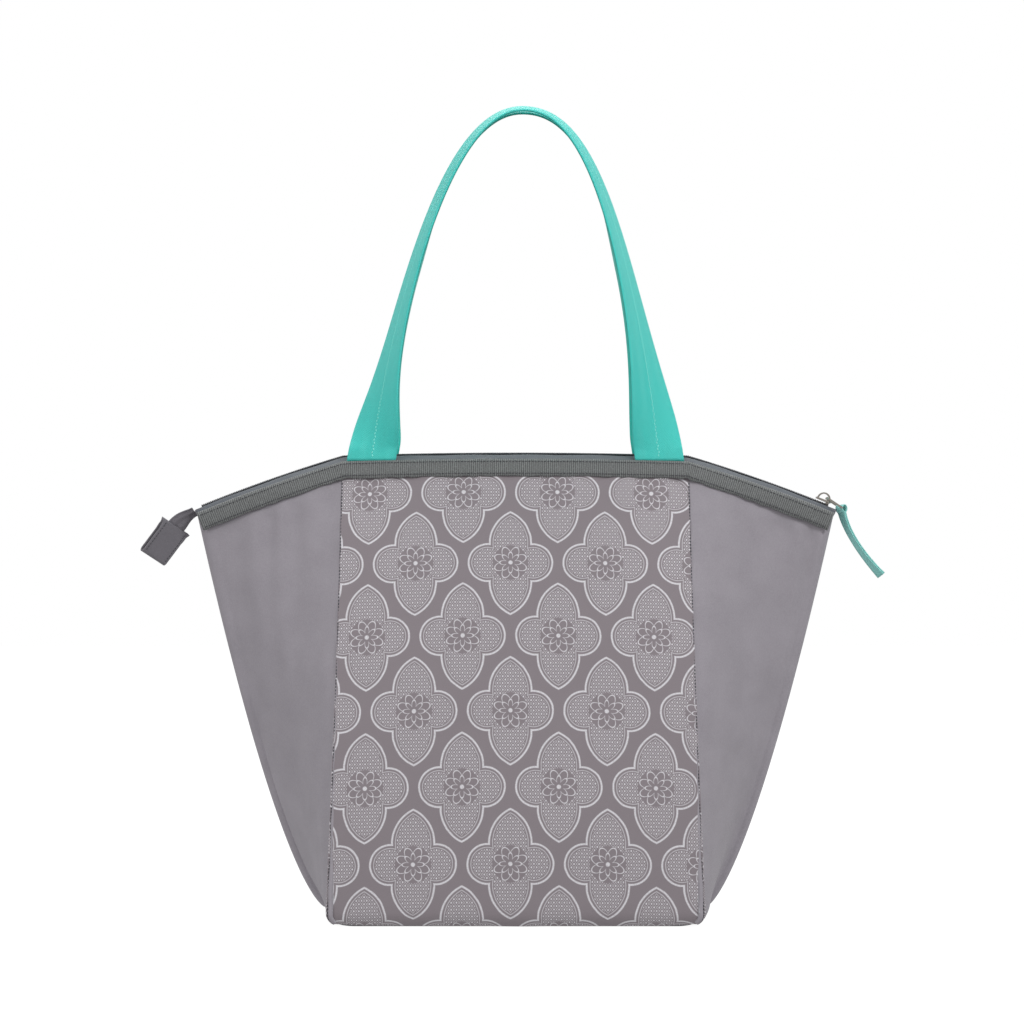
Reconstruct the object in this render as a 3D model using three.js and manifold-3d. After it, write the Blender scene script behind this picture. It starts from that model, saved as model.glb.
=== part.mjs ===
// Insulated cooler tote: two padded shells, front and back, that fold out from a flat base, each with a
// centre panel and two wings, closed along the arched top edge by a coil zip, with two webbing handles.
// Millimetres, +Z up, -Y is the front. The origin is the middle of the base's underside.
import * as THREE from "three";
import { mergeVertices } from "three/addons/utils/BufferGeometryUtils.js";
import Module from "manifold-3d";

const wasm = await Module();
wasm.setup();

// ---- Driving dimensions ----
const TOP_Z = 322.5; // the shells' top edge at the seams between panel and wing
const TOP_ARCH = 2; // how much higher the middle of the top edge is
const SHELL_FOOT_Z = 0.8; // the shells stop just above the floor
const BASE_DEPTH = 80; // half depth of the bag at the base
const TOP_DEPTH = 14; // half depth at the top edge
const DEPTH_POWER = 1.8; // how late the panels lean in towards the zip
const SEAM_TOP = 124.5; // half width of the centre panel at the top edge
const SEAM_FLARE = 7; // the centre panel is this much wider, each side, at the base
const CREASE_FOOT = 138; // half width of the gusset's fold at the base
const CREASE_TOP = 231; // and at its top corner
const CREASE_POWER = 0.68; // the fold line flares quickly at first
const FOLD_FOOT = 4.6; // half thickness of the fold at the base
const FOLD_TOP = 9; // and at the top corner
const WING_DROP = 0.3; // the wing's top edge: slope at the seam, and how fast it steepens
const WING_DROOP = 0.0005;
const WING_REACH = CREASE_TOP - SEAM_TOP;
const CREASE_TOP_Z = TOP_Z - WING_DROP * WING_REACH - WING_DROOP * WING_REACH ** 2;
// How far the middle of the wing's top edge stands above a straight line.
const EDGE_RISE = (WING_DROOP * WING_REACH ** 2) / 4;
const FOLD_TRIM = 7; // the wings stop this far short of the gusset's fold
const GAP = 0.3; // clearance between neighbouring pieces
const SKIN = [0, 0.8]; // outer fabric, as depths below the outer surface
const PANEL_FOAM = [1.1, 5.0];
const PANEL_LINER = [5.3, 5.9];
const WING_FOAM = [1.2, 3.6];
const WING_LINER = [3.9, 4.5];
const BAND = [-1.1, -0.3]; // grosgrain band on the outside of the top edge
const BAND_HEIGHT = 12;
const BAND_ZONE = 15; // the foam stops this far below the top edge
const STRAP_DEPTHS = [1.1, 3.5]; // a strap's sewn end, between the outer fabric and the zip tape
const ZIP_RISE = 4.4; // the coils run this far above the top edge
const ZIP_END = 225.5; // the coils end here, measured along the top edge
const COIL = { inner: 1.1, outer: 3.2, half: 0.9 };
const TAPE_THICK = 0.7;
const TAPE_DEPTH = 3.8; // the tape's flange lies this deep behind the outer surface
const STRAP_WIDTH = 36;
const STRAP_THICK = 2.4;
const STRAP_X = 104; // middle of a strap's sewn end
const STRAP_TUCK = 12; // how far it reaches below the top edge
const HANDLE_TOP = new THREE.Vector2(5, 576.5); // middle of the handles' arch, in x and z

const { smoothstep, lerp, degToRad } = THREE.MathUtils;

// ---- Colours ----
const cloth = (color, roughness = 0.85) => new THREE.MeshStandardMaterial({ color, roughness, metalness: 0 });
const GREY = cloth(0x89858c);
const PRINT = cloth(0xa5a1a7);
const BAND_GREY = cloth(0x6f7173);
const FOAM = cloth(0xf2f2ee);
const LINER = cloth(0xc9ccd0, 0.35);
const TEAL = cloth(0x2fc7b8, 0.55);
const BASE_GREY = cloth(0x5c5b60);
const BOARD = cloth(0x2b2b2e, 0.6);
const TAPE = cloth(0x67686c);
const COIL_GREY = cloth(0x4c4e54, 0.45);
const NICKEL = new THREE.MeshStandardMaterial({ color: 0xb9b6b0, roughness: 0.3, metalness: 1 });

// ---- Solids from lists of points ----
// Closes the shape given by vertices and triangles, turning it the right way out.
function solid(vertices, triangles) {
  let volume = 0;
  for (const [a, b, c] of triangles) {
    volume += vertices[a].dot(new THREE.Vector3().crossVectors(vertices[b], vertices[c]));
  }
  const index = triangles.flatMap(([a, b, c]) => (volume < 0 ? [a, c, b] : [a, b, c]));
  const geometry = new THREE.BufferGeometry().setFromPoints(vertices);
  geometry.setIndex(index);
  geometry.computeVertexNormals();
  return geometry;
}

// A solid through a row of closed rings that all have the same number of points.
function loft(rings) {
  const n = rings[0].length;
  const triangles = [];
  for (let k = 0; k + 1 < rings.length; k++) {
    for (let i = 0; i < n; i++) {
      const [a, b] = [k * n + i, k * n + ((i + 1) % n)];
      triangles.push([a, b, b + n], [a, b + n, a + n]);
    }
  }
  const last = (rings.length - 1) * n;
  for (let i = 1; i + 1 < n; i++) {
    triangles.push([0, i + 1, i], [last, last + i, last + i + 1]);
  }
  return solid(rings.flat(), triangles);
}

// A sheet between two depths: point(u, v, depth) gives the surface, and each height v becomes one ring.
function slab(point, [near, far], columns, heights) {
  const rings = [];
  for (const v of heights) {
    const outside = [];
    const inside = [];
    for (let i = 0; i <= columns; i++) {
      outside.push(point(i / columns, v, near, far));
      inside.unshift(point(i / columns, v, far, far));
    }
    rings.push([...outside, ...inside]);
  }
  return stitched(rings, columns);
}

// As loft, but its end caps are strips between the outside and the inside of a thin curved sheet.
function stitched(rings, columns) {
  const n = rings[0].length;
  const triangles = [];
  for (let k = 0; k + 1 < rings.length; k++) {
    for (let i = 0; i < n; i++) {
      const [a, b] = [k * n + i, k * n + ((i + 1) % n)];
      // Both faces are split along the same diagonal, so that neighbouring sheets stay parallel.
      if (i < columns) triangles.push([a, b, b + n], [a, b + n, a + n]);
      else triangles.push([a, b, a + n], [b, b + n, a + n]);
    }
  }
  const last = (rings.length - 1) * n;
  for (let i = 0; i < columns; i++) {
    const [a, b, c, d] = [i, i + 1, n - 2 - i, n - 1 - i];
    triangles.push([a, c, b], [a, d, c]);
    triangles.push([last + a, last + b, last + c], [last + a, last + c, last + d]);
  }
  return solid(rings.flat(), triangles);
}

// manifold-3d solids, for the pieces that need a cut or a join.
function toManifold(geometry, matrix = new THREE.Matrix4()) {
  const g = (geometry.index ? geometry.toNonIndexed() : geometry.clone()).applyMatrix4(matrix);
  g.deleteAttribute("normal");
  g.deleteAttribute("uv");
  const merged = mergeVertices(g, 1e-4);
  return new wasm.Manifold(
    new wasm.Mesh({
      numProp: 3,
      vertProperties: merged.attributes.position.array,
      triVerts: new Uint32Array(merged.index.array),
    }),
  );
}

function fromManifold(made) {
  const { vertProperties, triVerts } = made.getMesh();
  const geometry = new THREE.BufferGeometry();
  geometry.setAttribute("position", new THREE.BufferAttribute(new Float32Array(vertProperties), 3));
  geometry.setIndex(new THREE.BufferAttribute(new Uint32Array(triVerts), 1));
  geometry.computeVertexNormals();
  return geometry;
}

const moved = (x, y, z) => new THREE.Matrix4().makeTranslation(x, y, z);

// ---- The bag's shape ----
const halfDepth = (z) => TOP_DEPTH + (BASE_DEPTH - TOP_DEPTH) * (1 - (z / TOP_Z) ** DEPTH_POWER);
const seamX = (z) => SEAM_TOP + SEAM_FLARE * (1 - z / TOP_Z) ** 2;
const creaseX = (z) => CREASE_FOOT + (CREASE_TOP - CREASE_FOOT) * (z / CREASE_TOP_Z) ** CREASE_POWER;
const foldHalf = (v) => FOLD_FOOT + (FOLD_TOP - FOLD_FOOT) * v ** 4;

// Height of the top edge at x, and its slope away from the middle.
function topEdge(x) {
  const past = Math.abs(x) - SEAM_TOP;
  return past < 0
    ? TOP_Z + TOP_ARCH * (1 - (x / SEAM_TOP) ** 2)
    : TOP_Z - WING_DROP * past - WING_DROOP * past * past;
}
function topSlope(x) {
  const past = Math.abs(x) - SEAM_TOP;
  return past < 0 ? (-2 * TOP_ARCH * x) / SEAM_TOP ** 2 : -Math.sign(x) * (WING_DROP + 2 * WING_DROOP * past);
}

// The wing's cross-section at height v: from the seam to the fold, with its direction and inward normal.
function wingSection(v) {
  const seamZ = Math.max(v * TOP_Z, SHELL_FOOT_Z);
  const creaseZ = Math.max(v * CREASE_TOP_Z, SHELL_FOOT_Z);
  const seam = new THREE.Vector2(seamX(seamZ), -halfDepth(seamZ));
  const fold = new THREE.Vector2(creaseX(creaseZ), -foldHalf(v));
  const along = fold.clone().sub(seam);
  const length = along.length();
  along.normalize();
  const turn = Math.atan2(along.y, along.x); // between the centre panel and the wing
  const inward = new THREE.Vector2(-along.y, along.x);
  return { seam, along, length, seamZ, creaseZ, mitre: Math.tan(turn / 2), inward };
}

// The front right wing at a depth below its outer surface, with u from seam to fold and v from base to top.
function wingPoint(u, v, depth, deepest) {
  const s = wingSection(v);
  const start = Math.max(0, deepest) * s.mitre + GAP;
  const end = deepest < 0 ? 0 : FOLD_TRIM * s.along.x + GAP;
  const t = start + u * (s.length - start - end);
  const share = t / s.length;
  const z = s.seamZ + (s.creaseZ - s.seamZ) * share + 4 * EDGE_RISE * share * (1 - share) * v * v;
  return new THREE.Vector3(
    s.seam.x + s.along.x * t + s.inward.x * depth,
    s.seam.y + s.along.y * t + s.inward.y * depth,
    z,
  );
}

// Outer surface of the front centre panel, u from left to right, v from base to top.
function panelPoint(u, v, depth, deepest) {
  const side = 2 * u - 1;
  const z = SHELL_FOOT_Z + v * (topEdge(side * SEAM_TOP) - SHELL_FOOT_Z);
  const trim = Math.max(0, deepest) * wingSection(Math.min(1, z / TOP_Z)).mitre + GAP;
  return new THREE.Vector3(side * (seamX(z) - trim), -(halfDepth(z) - depth), z);
}

const mirrored = (point, sx, sy) => (...args) => point(...args).multiply(new THREE.Vector3(sx, sy, 1));

const bag = new THREE.Group();
function add(name, geometry, material) {
  const mesh = new THREE.Mesh(geometry, material);
  mesh.name = name;
  bag.add(mesh);
  return mesh;
}

// ---- Front and back shells ----
const FOAM_TOP = 1 - BAND_ZONE / TOP_Z;
const BAND_FOOT = 1 - BAND_HEIGHT / TOP_Z;
const [PANEL_ACROSS, WING_ACROSS] = [6, 5];
const FOAM_HEIGHTS = [0, 0.1, 0.2, 0.3, 0.4, 0.5, 0.6, 0.7, 0.79, 0.88, FOAM_TOP];
const BAND_HEIGHTS = [BAND_FOOT, 1];
const HEIGHTS = [...FOAM_HEIGHTS, ...BAND_HEIGHTS];

for (const [end, sy] of [["front", 1], ["back", -1]]) {
  const panel = mirrored(panelPoint, 1, sy);
  add(`${end}_panel`, slab(panel, SKIN, PANEL_ACROSS, HEIGHTS), PRINT);
  add(`${end}_panel_foam`, slab(panel, PANEL_FOAM, PANEL_ACROSS, FOAM_HEIGHTS), FOAM);
  add(`${end}_panel_liner`, slab(panel, PANEL_LINER, PANEL_ACROSS, HEIGHTS), LINER);
  add(`${end}_centre_band`, slab(panel, BAND, PANEL_ACROSS, BAND_HEIGHTS), BAND_GREY);
  for (const [side, sx] of [["left", -1], ["right", 1]]) {
    const wing = mirrored(wingPoint, sx, sy);
    add(`${end}_${side}_wing`, slab(wing, SKIN, WING_ACROSS, HEIGHTS), GREY);
    add(`${end}_${side}_wing_foam`, slab(wing, WING_FOAM, WING_ACROSS, FOAM_HEIGHTS), FOAM);
    add(`${end}_${side}_wing_liner`, slab(wing, WING_LINER, WING_ACROSS, FOAM_HEIGHTS), LINER);
    add(`${end}_${side}_band`, slab(wing, BAND, WING_ACROSS, BAND_HEIGHTS), BAND_GREY);
    add(`${end}_${side}_strap_end`, strapEnd(sx, sy), TEAL);
  }
}

// A strap's sewn end: a flat tongue behind the top of the centre panel.
function strapEnd(sx, sy) {
  const half = STRAP_WIDTH / 2;
  const rings = [];
  for (const z of [TOP_Z - STRAP_TUCK, TOP_Z]) {
    const [near, far] = STRAP_DEPTHS.map((depth) => -(halfDepth(z) - depth));
    const corner = (x, y) => new THREE.Vector3(sx * STRAP_X + x, sy * y, z);
    rings.push([corner(-half, near), corner(half, near), corner(half, far), corner(-half, far)]);
  }
  return loft(rings);
}

// ---- Base, and the folds of the two gussets ----
const BASE_HALF = { x: 125.4, middle: 132.2, y: 73.2, corner: 5 };
function basePlate(z0, z1) {
  const { x, middle, y, corner } = BASE_HALF;
  const shape = new THREE.Shape();
  shape.moveTo(-x + corner, -y);
  shape.lineTo(x - corner, -y);
  shape.quadraticCurveTo(x, -y, x, -y + corner);
  shape.lineTo(middle, 0);
  shape.lineTo(x, y - corner);
  shape.quadraticCurveTo(x, y, x - corner, y);
  shape.lineTo(-x + corner, y);
  shape.quadraticCurveTo(-x, y, -x, y - corner);
  shape.lineTo(-middle, 0);
  shape.lineTo(-x, -y + corner);
  shape.quadraticCurveTo(-x, -y, -x + corner, -y);
  const plate = new THREE.ExtrudeGeometry(shape, { depth: z1 - z0, bevelEnabled: false, curveSegments: 3 });
  return plate.translate(0, 0, z0);
}
add("base_panel", basePlate(0, 1.2), BASE_GREY);
add("base_board", basePlate(1.5, 3.5), BOARD);
add("base_foam", basePlate(3.8, 8.8), FOAM);
add("base_liner", basePlate(9.1, 9.7), LINER);

// The strip of gusset along the fold line, which stays where it is when the shells fold out.
const FOLD = { deep: 5, shoulder: 1.5, clearance: 0.4, short: 2 };
function gussetFold(sx) {
  const { deep, shoulder, clearance, short } = FOLD;
  const rings = [];
  const steps = 10;
  for (let j = 0; j <= steps; j++) {
    const v = j / steps;
    const z = SHELL_FOOT_Z + v * (CREASE_TOP_Z - short - SHELL_FOOT_Z);
    const [x, half] = [creaseX(z), foldHalf(v) - clearance];
    const near = [[x - deep, -half], [x - shoulder, -half], [x, -half / 2]];
    const outline = [...near, ...near.map(([px, py]) => [px, -py]).reverse()];
    rings.push(outline.map(([px, py]) => new THREE.Vector3(sx * px, py, z)));
  }
  return loft(rings);
}
add("left_gusset_fold", gussetFold(-1), GREY);
add("right_gusset_fold", gussetFold(1), GREY);

// ---- Zip: tapes and coils along the top edge ----
// A point beside the top edge: y across the bag, n square to the edge and up.
function besideEdge(x, y, n) {
  const slope = topSlope(x);
  const unit = 1 / Math.hypot(1, slope);
  return new THREE.Vector3(x - slope * unit * n, y, topEdge(x) + unit * n);
}

// Half depth of the bag along its top edge.
function edgeDepth(x) {
  const past = (Math.abs(x) - SEAM_TOP) / (CREASE_TOP - SEAM_TOP);
  return past < 0 ? halfDepth(topEdge(x)) : TOP_DEPTH + (FOLD_TOP - TOP_DEPTH) * past;
}

const zipStations = [];
const ZIP_STEPS = 5;
for (const [from, to] of [[-ZIP_END, -SEAM_TOP], [-SEAM_TOP, SEAM_TOP], [SEAM_TOP, ZIP_END]]) {
  for (let i = zipStations.length ? 1 : 0; i <= ZIP_STEPS; i++) {
    zipStations.push(from + ((to - from) * i) / ZIP_STEPS);
  }
}
const alongZip = (outline, sy) =>
  loft(zipStations.map((x) => outline(x).map(([y, n]) => besideEdge(x, sy * y, n))));

// How fast the shell spreads below its top edge at x. It leans back a little at the corners.
const CORNER_LEAN = -0.1;
const TOP_LEAN = ((BASE_DEPTH - TOP_DEPTH) * DEPTH_POWER) / TOP_Z;
function edgeLean(x) {
  const past = Math.max(0, Math.abs(x) - SEAM_TOP) / (CREASE_TOP - SEAM_TOP);
  return TOP_LEAN * lerp(1, CORNER_LEAN, past);
}

// The tape runs level beside its coil, then turns down behind the band and follows the shell.
const TAPE_FOOT = -11;
function tapeOutline(x) {
  const flange = TAPE_DEPTH - edgeDepth(x);
  const foot = flange + edgeLean(x) * TAPE_FOOT;
  const top = ZIP_RISE + TAPE_THICK / 2;
  const edge = -(COIL.outer + GAP);
  return [
    [edge, top],
    [flange, top],
    [flange, 0],
    [foot, TAPE_FOOT],
    [foot + TAPE_THICK, TAPE_FOOT],
    [flange + TAPE_THICK, 0],
    [flange + TAPE_THICK, top - TAPE_THICK],
    [edge, top - TAPE_THICK],
  ];
}
function coilOutline() {
  const [low, high] = [ZIP_RISE - COIL.half, ZIP_RISE + COIL.half];
  return [[-COIL.outer, low], [-COIL.inner, low], [-COIL.inner, high], [-COIL.outer, high]];
}
// The tape's outline isn't convex, so its end caps are strips between its upper and its lower line.
function zipTape(sy) {
  const rings = zipStations.map((x) => tapeOutline(x).map(([y, n]) => besideEdge(x, sy * y, n)));
  return stitched(rings, 3);
}
for (const [end, sy] of [["front", 1], ["back", -1]]) {
  add(`${end}_zip_tape`, zipTape(sy), TAPE);
  add(`${end}_zip_coil`, alongZip(coilOutline, sy), COIL_GREY);
}

// Stitched blocks that close the zip at its two ends.
const STOP = { gap: 1.6, half: 5, low: 0.4, high: 3.6 };
function zipStop(sx) {
  const { gap, half, low, high } = STOP;
  const outline = [[-half, low], [half, low], [half, high], [-half, high]];
  return loft([ZIP_END + gap, CREASE_TOP].map((x) => outline.map(([y, n]) => besideEdge(sx * x, y, n))));
}
add("left_zip_stop", zipStop(-1), TAPE);
add("right_zip_stop", zipStop(1), TAPE);

// ---- Zip slider, pull ring and ribbon ----
const SLIDER_X = 221; // where the slider rests, measured along the top edge
const sliderAt = besideEdge(SLIDER_X, 0, ZIP_RISE);
const sliderTurn = Math.atan(-topSlope(SLIDER_X));
const slider = new THREE.Group();
slider.position.copy(sliderAt);
slider.rotation.y = sliderTurn; // its own +X points along the zip, down towards the corner
bag.add(slider);

const PLATE = { thick: 1.2, low: -3.4, high: 2.2, half: 4.8, length: 11 };
const POST = { x: 3.4, length: 2.4, width: 1.6 }; // joins the two plates, ahead of the coils
const EYE = { x: 2, z: 5 }; // where the pull ring's near bar sits under the crown
const CROWN = { half: 4.9, rise: 5.2, thick: 1.1, width: 2.4 };
function sliderPlate(z) {
  const [l, w] = [PLATE.length / 2, PLATE.half];
  const shape = new THREE.Shape();
  shape.moveTo(-l, -w * 0.62);
  shape.quadraticCurveTo(-l * 0.3, -w * 0.7, l * 0.35, -w);
  shape.quadraticCurveTo(l, -w, l, -w * 0.3);
  shape.lineTo(l, w * 0.3);
  shape.quadraticCurveTo(l, w, l * 0.35, w);
  shape.quadraticCurveTo(-l * 0.3, w * 0.7, -l, w * 0.62);
  const flat = { depth: PLATE.thick, bevelEnabled: false, curveSegments: 3 };
  return new THREE.ExtrudeGeometry(shape, flat).translate(0, 0, z);
}

// A low bridge along the slider, which holds the ring.
function crown() {
  const { half, rise, thick, width } = CROWN;
  const sunk = PLATE.thick / 2;
  const shape = new THREE.Shape();
  shape.moveTo(-half, -sunk);
  shape.lineTo(-half + thick, -sunk);
  shape.lineTo(-half + thick, 0);
  shape.absellipse(0, 0, half - thick, rise - thick, Math.PI, 0, true);
  shape.lineTo(half - thick, -sunk);
  shape.lineTo(half, -sunk);
  shape.lineTo(half, 0);
  shape.absellipse(0, 0, half, rise, 0, Math.PI, false);
  shape.lineTo(-half, -sunk);
  const flat = new THREE.ExtrudeGeometry(shape, { depth: width, bevelEnabled: false, curveSegments: 8 });
  return flat.translate(0, 0, -width / 2).rotateX(Math.PI / 2).translate(0, 0, PLATE.high + PLATE.thick);
}
const post = new THREE.BoxGeometry(POST.length, POST.width, PLATE.high - PLATE.low);
const sliderBody = toManifold(sliderPlate(PLATE.low))
  .add(toManifold(sliderPlate(PLATE.high)))
  .add(toManifold(post, moved(POST.x, 0, (PLATE.high + PLATE.low + PLATE.thick) / 2)))
  .add(toManifold(crown()));
const sliderMesh = new THREE.Mesh(fromManifold(sliderBody), NICKEL);
sliderMesh.name = "zip_slider";
slider.add(sliderMesh);

// The pull ring is a flat wire loop through the crown's eye. Its own +X points away from the eye.
const RING = { length: 14, width: 10.6, wire: 1.4, dip: degToRad(12) };
const ring = new THREE.Group();
ring.position.set(EYE.x, 0, EYE.z);
ring.rotation.y = RING.dip;
slider.add(ring);
function roundedLoop(length, width, wire) {
  const outline = (grow, r) => {
    const [x0, x1, h] = [-wire / 2 - grow, length - wire / 2 + grow, width / 2 + grow];
    const path = new THREE.Shape();
    path.moveTo(x0 + r, -h);
    path.lineTo(x1 - r, -h);
    path.quadraticCurveTo(x1, -h, x1, -h + r);
    path.lineTo(x1, h - r);
    path.quadraticCurveTo(x1, h, x1 - r, h);
    path.lineTo(x0 + r, h);
    path.quadraticCurveTo(x0, h, x0, h - r);
    path.lineTo(x0, -h + r);
    path.quadraticCurveTo(x0, -h, x0 + r, -h);
    return path;
  };
  const shape = outline(0, 2.6);
  shape.holes.push(outline(-wire, 1.4));
  const loop = new THREE.ExtrudeGeometry(shape, { depth: wire, bevelEnabled: false, curveSegments: 3 });
  return loop.translate(0, 0, -wire / 2);
}
const ringMesh = new THREE.Mesh(roundedLoop(RING.length, RING.width, RING.wire), NICKEL);
ringMesh.name = "pull_ring";
ring.add(ringMesh);

// ---- Twisted ribbons ----
const spaced = (from, to, steps) => Array.from({ length: steps + 1 }, (_, i) => lerp(from, to, i / steps));

// A flat band along a path. at(station) gives the band's middle, its direction across, and its face's normal.
function ribbonLoft(at, stations, width, thick) {
  const rings = [];
  for (const station of stations) {
    const { middle, across, normal } = at(station);
    const corner = (a, b) =>
      middle.clone().addScaledVector(across, (a * width) / 2).addScaledVector(normal, (b * thick) / 2);
    rings.push([corner(-1, -1), corner(1, -1), corner(1, 1), corner(-1, 1)]);
  }
  return loft(rings);
}

// The ribbon hangs on the ring's far bar, curves down and out, and turns its face towards the front.
const ringEnd = new THREE.Vector3(RING.length - RING.wire, 0, 0);
slider.updateMatrixWorld(true);
const ribbonEye = ring.localToWorld(ringEnd.clone());
// How far the ribbon's face turns towards the front at its ends, and how much less in its middle.
const RIBBON_TURN = { ends: degToRad(-38), middle: degToRad(16) };
const RIBBON = { width: 7, thick: 1.7, eye: 1.2, rim: 2.1, stations: spaced(0.028, 1, 14) };
const ribbonPath = new THREE.CubicBezierCurve3(
  ribbonEye.clone(),
  ribbonEye.clone().add(new THREE.Vector3(1.5, 0, -14)),
  ribbonEye.clone().add(new THREE.Vector3(13.5, -1, -32.7)),
  ribbonEye.clone().add(new THREE.Vector3(28.7, -2, -48.9)),
);
function ribbonFrame(t) {
  const tangent = ribbonPath.getTangent(t);
  const turn = RIBBON_TURN.ends + RIBBON_TURN.middle * Math.sin(Math.PI * t);
  const side = new THREE.Vector3(0, 1, 0);
  const normal = new THREE.Vector3().crossVectors(tangent, side).normalize();
  const across = side.clone().applyAxisAngle(tangent, turn);
  return { middle: ribbonPath.getPoint(t), across, normal: normal.applyAxisAngle(tangent, turn) };
}
function ribbonPull() {
  const eye = new THREE.CylinderGeometry(RIBBON.rim, RIBBON.rim, RIBBON.width, 14);
  const bore = new THREE.CylinderGeometry(RIBBON.eye, RIBBON.eye, RIBBON.width + 2, 14);
  const at = moved(ribbonEye.x, ribbonEye.y, ribbonEye.z);
  const tail = ribbonLoft(ribbonFrame, RIBBON.stations, RIBBON.width, RIBBON.thick);
  return fromManifold(toManifold(tail).add(toManifold(eye, at)).subtract(toManifold(bore, at)));
}
add("ribbon_pull", ribbonPull(), TEAL);

// ---- Zip tail and its folded tab, beyond the left corner ----
const tailStart = besideEdge(-CREASE_TOP - 1.6, 0, 3);
const tabTop = new THREE.Vector3(-246.3, -2, 276.8);
const TAB = { length: 28.5, width: 22, leg: 1, slot: 3 };
const tabDown = new THREE.Vector3(-0.6, 0, -0.8);
const tabAcross = new THREE.Vector3(0.74, 0.5, -0.45).normalize();
tabAcross.addScaledVector(tabDown, -tabAcross.dot(tabDown)).normalize();
const tabNormal = new THREE.Vector3().crossVectors(tabAcross, tabDown);

const TAIL_INTO_TAB = 9;
const tailPath = new THREE.CubicBezierCurve3(
  tailStart,
  tailStart.clone().add(new THREE.Vector3(-6, 0, -3.5)),
  tabTop.clone().addScaledVector(tabDown, -5),
  tabTop.clone().addScaledVector(tabDown, TAIL_INTO_TAB),
);
function zipTail() {
  const rings = [];
  const steps = 8;
  for (let i = 0; i <= steps; i++) {
    const t = i / steps;
    const ease = smoothstep(t, 0, 0.75);
    const middle = tailPath.getPoint(t);
    const tangent = tailPath.getTangent(t);
    const across = new THREE.Vector3(0, 1, 0).lerp(tabAcross, ease);
    across.addScaledVector(tangent, -across.dot(tangent)).normalize();
    const normal = new THREE.Vector3().crossVectors(across, tangent).normalize();
    const [half, thick] = [5 + 2 * ease, 0.8];
    const corner = (a, b) =>
      middle.clone().addScaledVector(across, a * half).addScaledVector(normal, b * thick);
    rings.push([corner(-1, -1), corner(1, -1), corner(1, 1), corner(-1, 1)]);
  }
  return loft(rings);
}
add("zip_tail", zipTail(), TAPE);

// The tab is a strip of fabric folded over the tail's end, open at the top and at both sides.
function tailTab() {
  const { length, width, leg, slot } = TAB;
  const shape = new THREE.Shape();
  const [inner, outer] = [slot / 2, slot / 2 + leg];
  shape.moveTo(inner, 0);
  shape.lineTo(outer, 0);
  shape.lineTo(outer, length - outer);
  shape.absarc(0, length - outer, outer, 0, Math.PI, false);
  shape.lineTo(-outer, 0);
  shape.lineTo(-inner, 0);
  shape.lineTo(-inner, length - outer);
  shape.absarc(0, length - outer, inner, Math.PI, 0, true);
  shape.lineTo(inner, 0);
  const folded = new THREE.ExtrudeGeometry(shape, { depth: width, bevelEnabled: false, curveSegments: 4 });
  folded.translate(0, 0, -width / 2);
  const place = new THREE.Matrix4().makeBasis(tabNormal, tabDown, tabAcross.clone());
  if (place.determinant() < 0) place.makeBasis(tabNormal.clone().negate(), tabDown, tabAcross.clone());
  return folded.applyMatrix4(place).translate(tabTop.x, tabTop.y, tabTop.z);
}
add("tail_tab", tailTab(), BASE_GREY);

// ---- Handles ----
// One arch, as two curves from a sewn end to the top. The straps stand flat against the shells at their ends
// and turn on the way up, until they lie side by side at the top.
const HANDLE_FOOT = TOP_Z + 1.4;
const leftLeg = new THREE.CubicBezierCurve(
  new THREE.Vector2(-STRAP_X, HANDLE_FOOT),
  new THREE.Vector2(-64, 560),
  new THREE.Vector2(-15, HANDLE_TOP.y),
  HANDLE_TOP,
);
const rightLeg = new THREE.CubicBezierCurve(
  HANDLE_TOP,
  new THREE.Vector2(40, HANDLE_TOP.y),
  new THREE.Vector2(73, 540),
  new THREE.Vector2(STRAP_X, HANDLE_FOOT),
);
const arch = new THREE.CurvePath();
arch.add(leftLeg);
arch.add(rightLeg);
const archLength = arch.getLength();
const TWIST_LEFT = 38; // a strap turns edge-on over about this length from its left end
const TWIST_RIGHT = 57;
const SEWN_FLAT = 9; // the straps stay flat for this long above their sewn ends
const UPRIGHT = 25; // and lean in with the arch over this length after that
// Degrees short of edge-on: the front strap's two ends, the back strap's ends, and how much less at its top.
const LEAN = { left: 15, right: 12, back: -1, top: 14 };
const STRAP_APART = 1; // each strap's inner edge stays at least about this far from the middle
const BACK_LIFT = 5; // the back handle's arch stands this much higher
function handleFrame(s, sy) {
  const fromEnd = Math.min(s, archLength - s);
  const top = smoothstep(fromEnd, archLength * 0.25, archLength * 0.5);
  const rate = lerp(TWIST_LEFT, TWIST_RIGHT, smoothstep(s, archLength * 0.3, archLength * 0.7));
  const lean = sy > 0 ? lerp(LEAN.left, LEAN.right, s / archLength) : LEAN.back - LEAN.top * top;
  const twist = degToRad(90 - lean) * (1 - Math.exp(-Math.max(0, fromEnd - SEWN_FLAT) / rate));
  const flat = arch.getPointAt(s / archLength);
  const heading = arch.getTangentAt(s / archLength);
  const outward = new THREE.Vector3(-heading.y, 0, heading.x);
  // The ends leave the top edge upright.
  const upright = 1 - smoothstep(fromEnd, SEWN_FLAT, SEWN_FLAT + UPRIGHT);
  const tangent = new THREE.Vector3(heading.x * (1 - upright), 0, heading.y).normalize();
  // The straps go side by side, each clear of the middle.
  const foot = TOP_DEPTH - (STRAP_DEPTHS[0] + STRAP_DEPTHS[1]) / 2;
  const away = foot + (STRAP_WIDTH / 2 + STRAP_APART - foot) * Math.sin(twist) ** 2;
  const lift = sy < 0 ? BACK_LIFT * top : 0;
  const middle = new THREE.Vector3(flat.x, -sy * away, flat.y).addScaledVector(outward, lift);
  const face = new THREE.Vector3(0, -sy, 0);
  const normal = face.multiplyScalar(Math.cos(twist)).addScaledVector(outward, Math.sin(twist)).normalize();
  const across = new THREE.Vector3().crossVectors(tangent, normal).normalize();
  return { middle, across, normal };
}
const endStations = [0, SEWN_FLAT, 20, 32, 46, 62, 80, 100, 122, 146, 172, 200];
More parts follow.
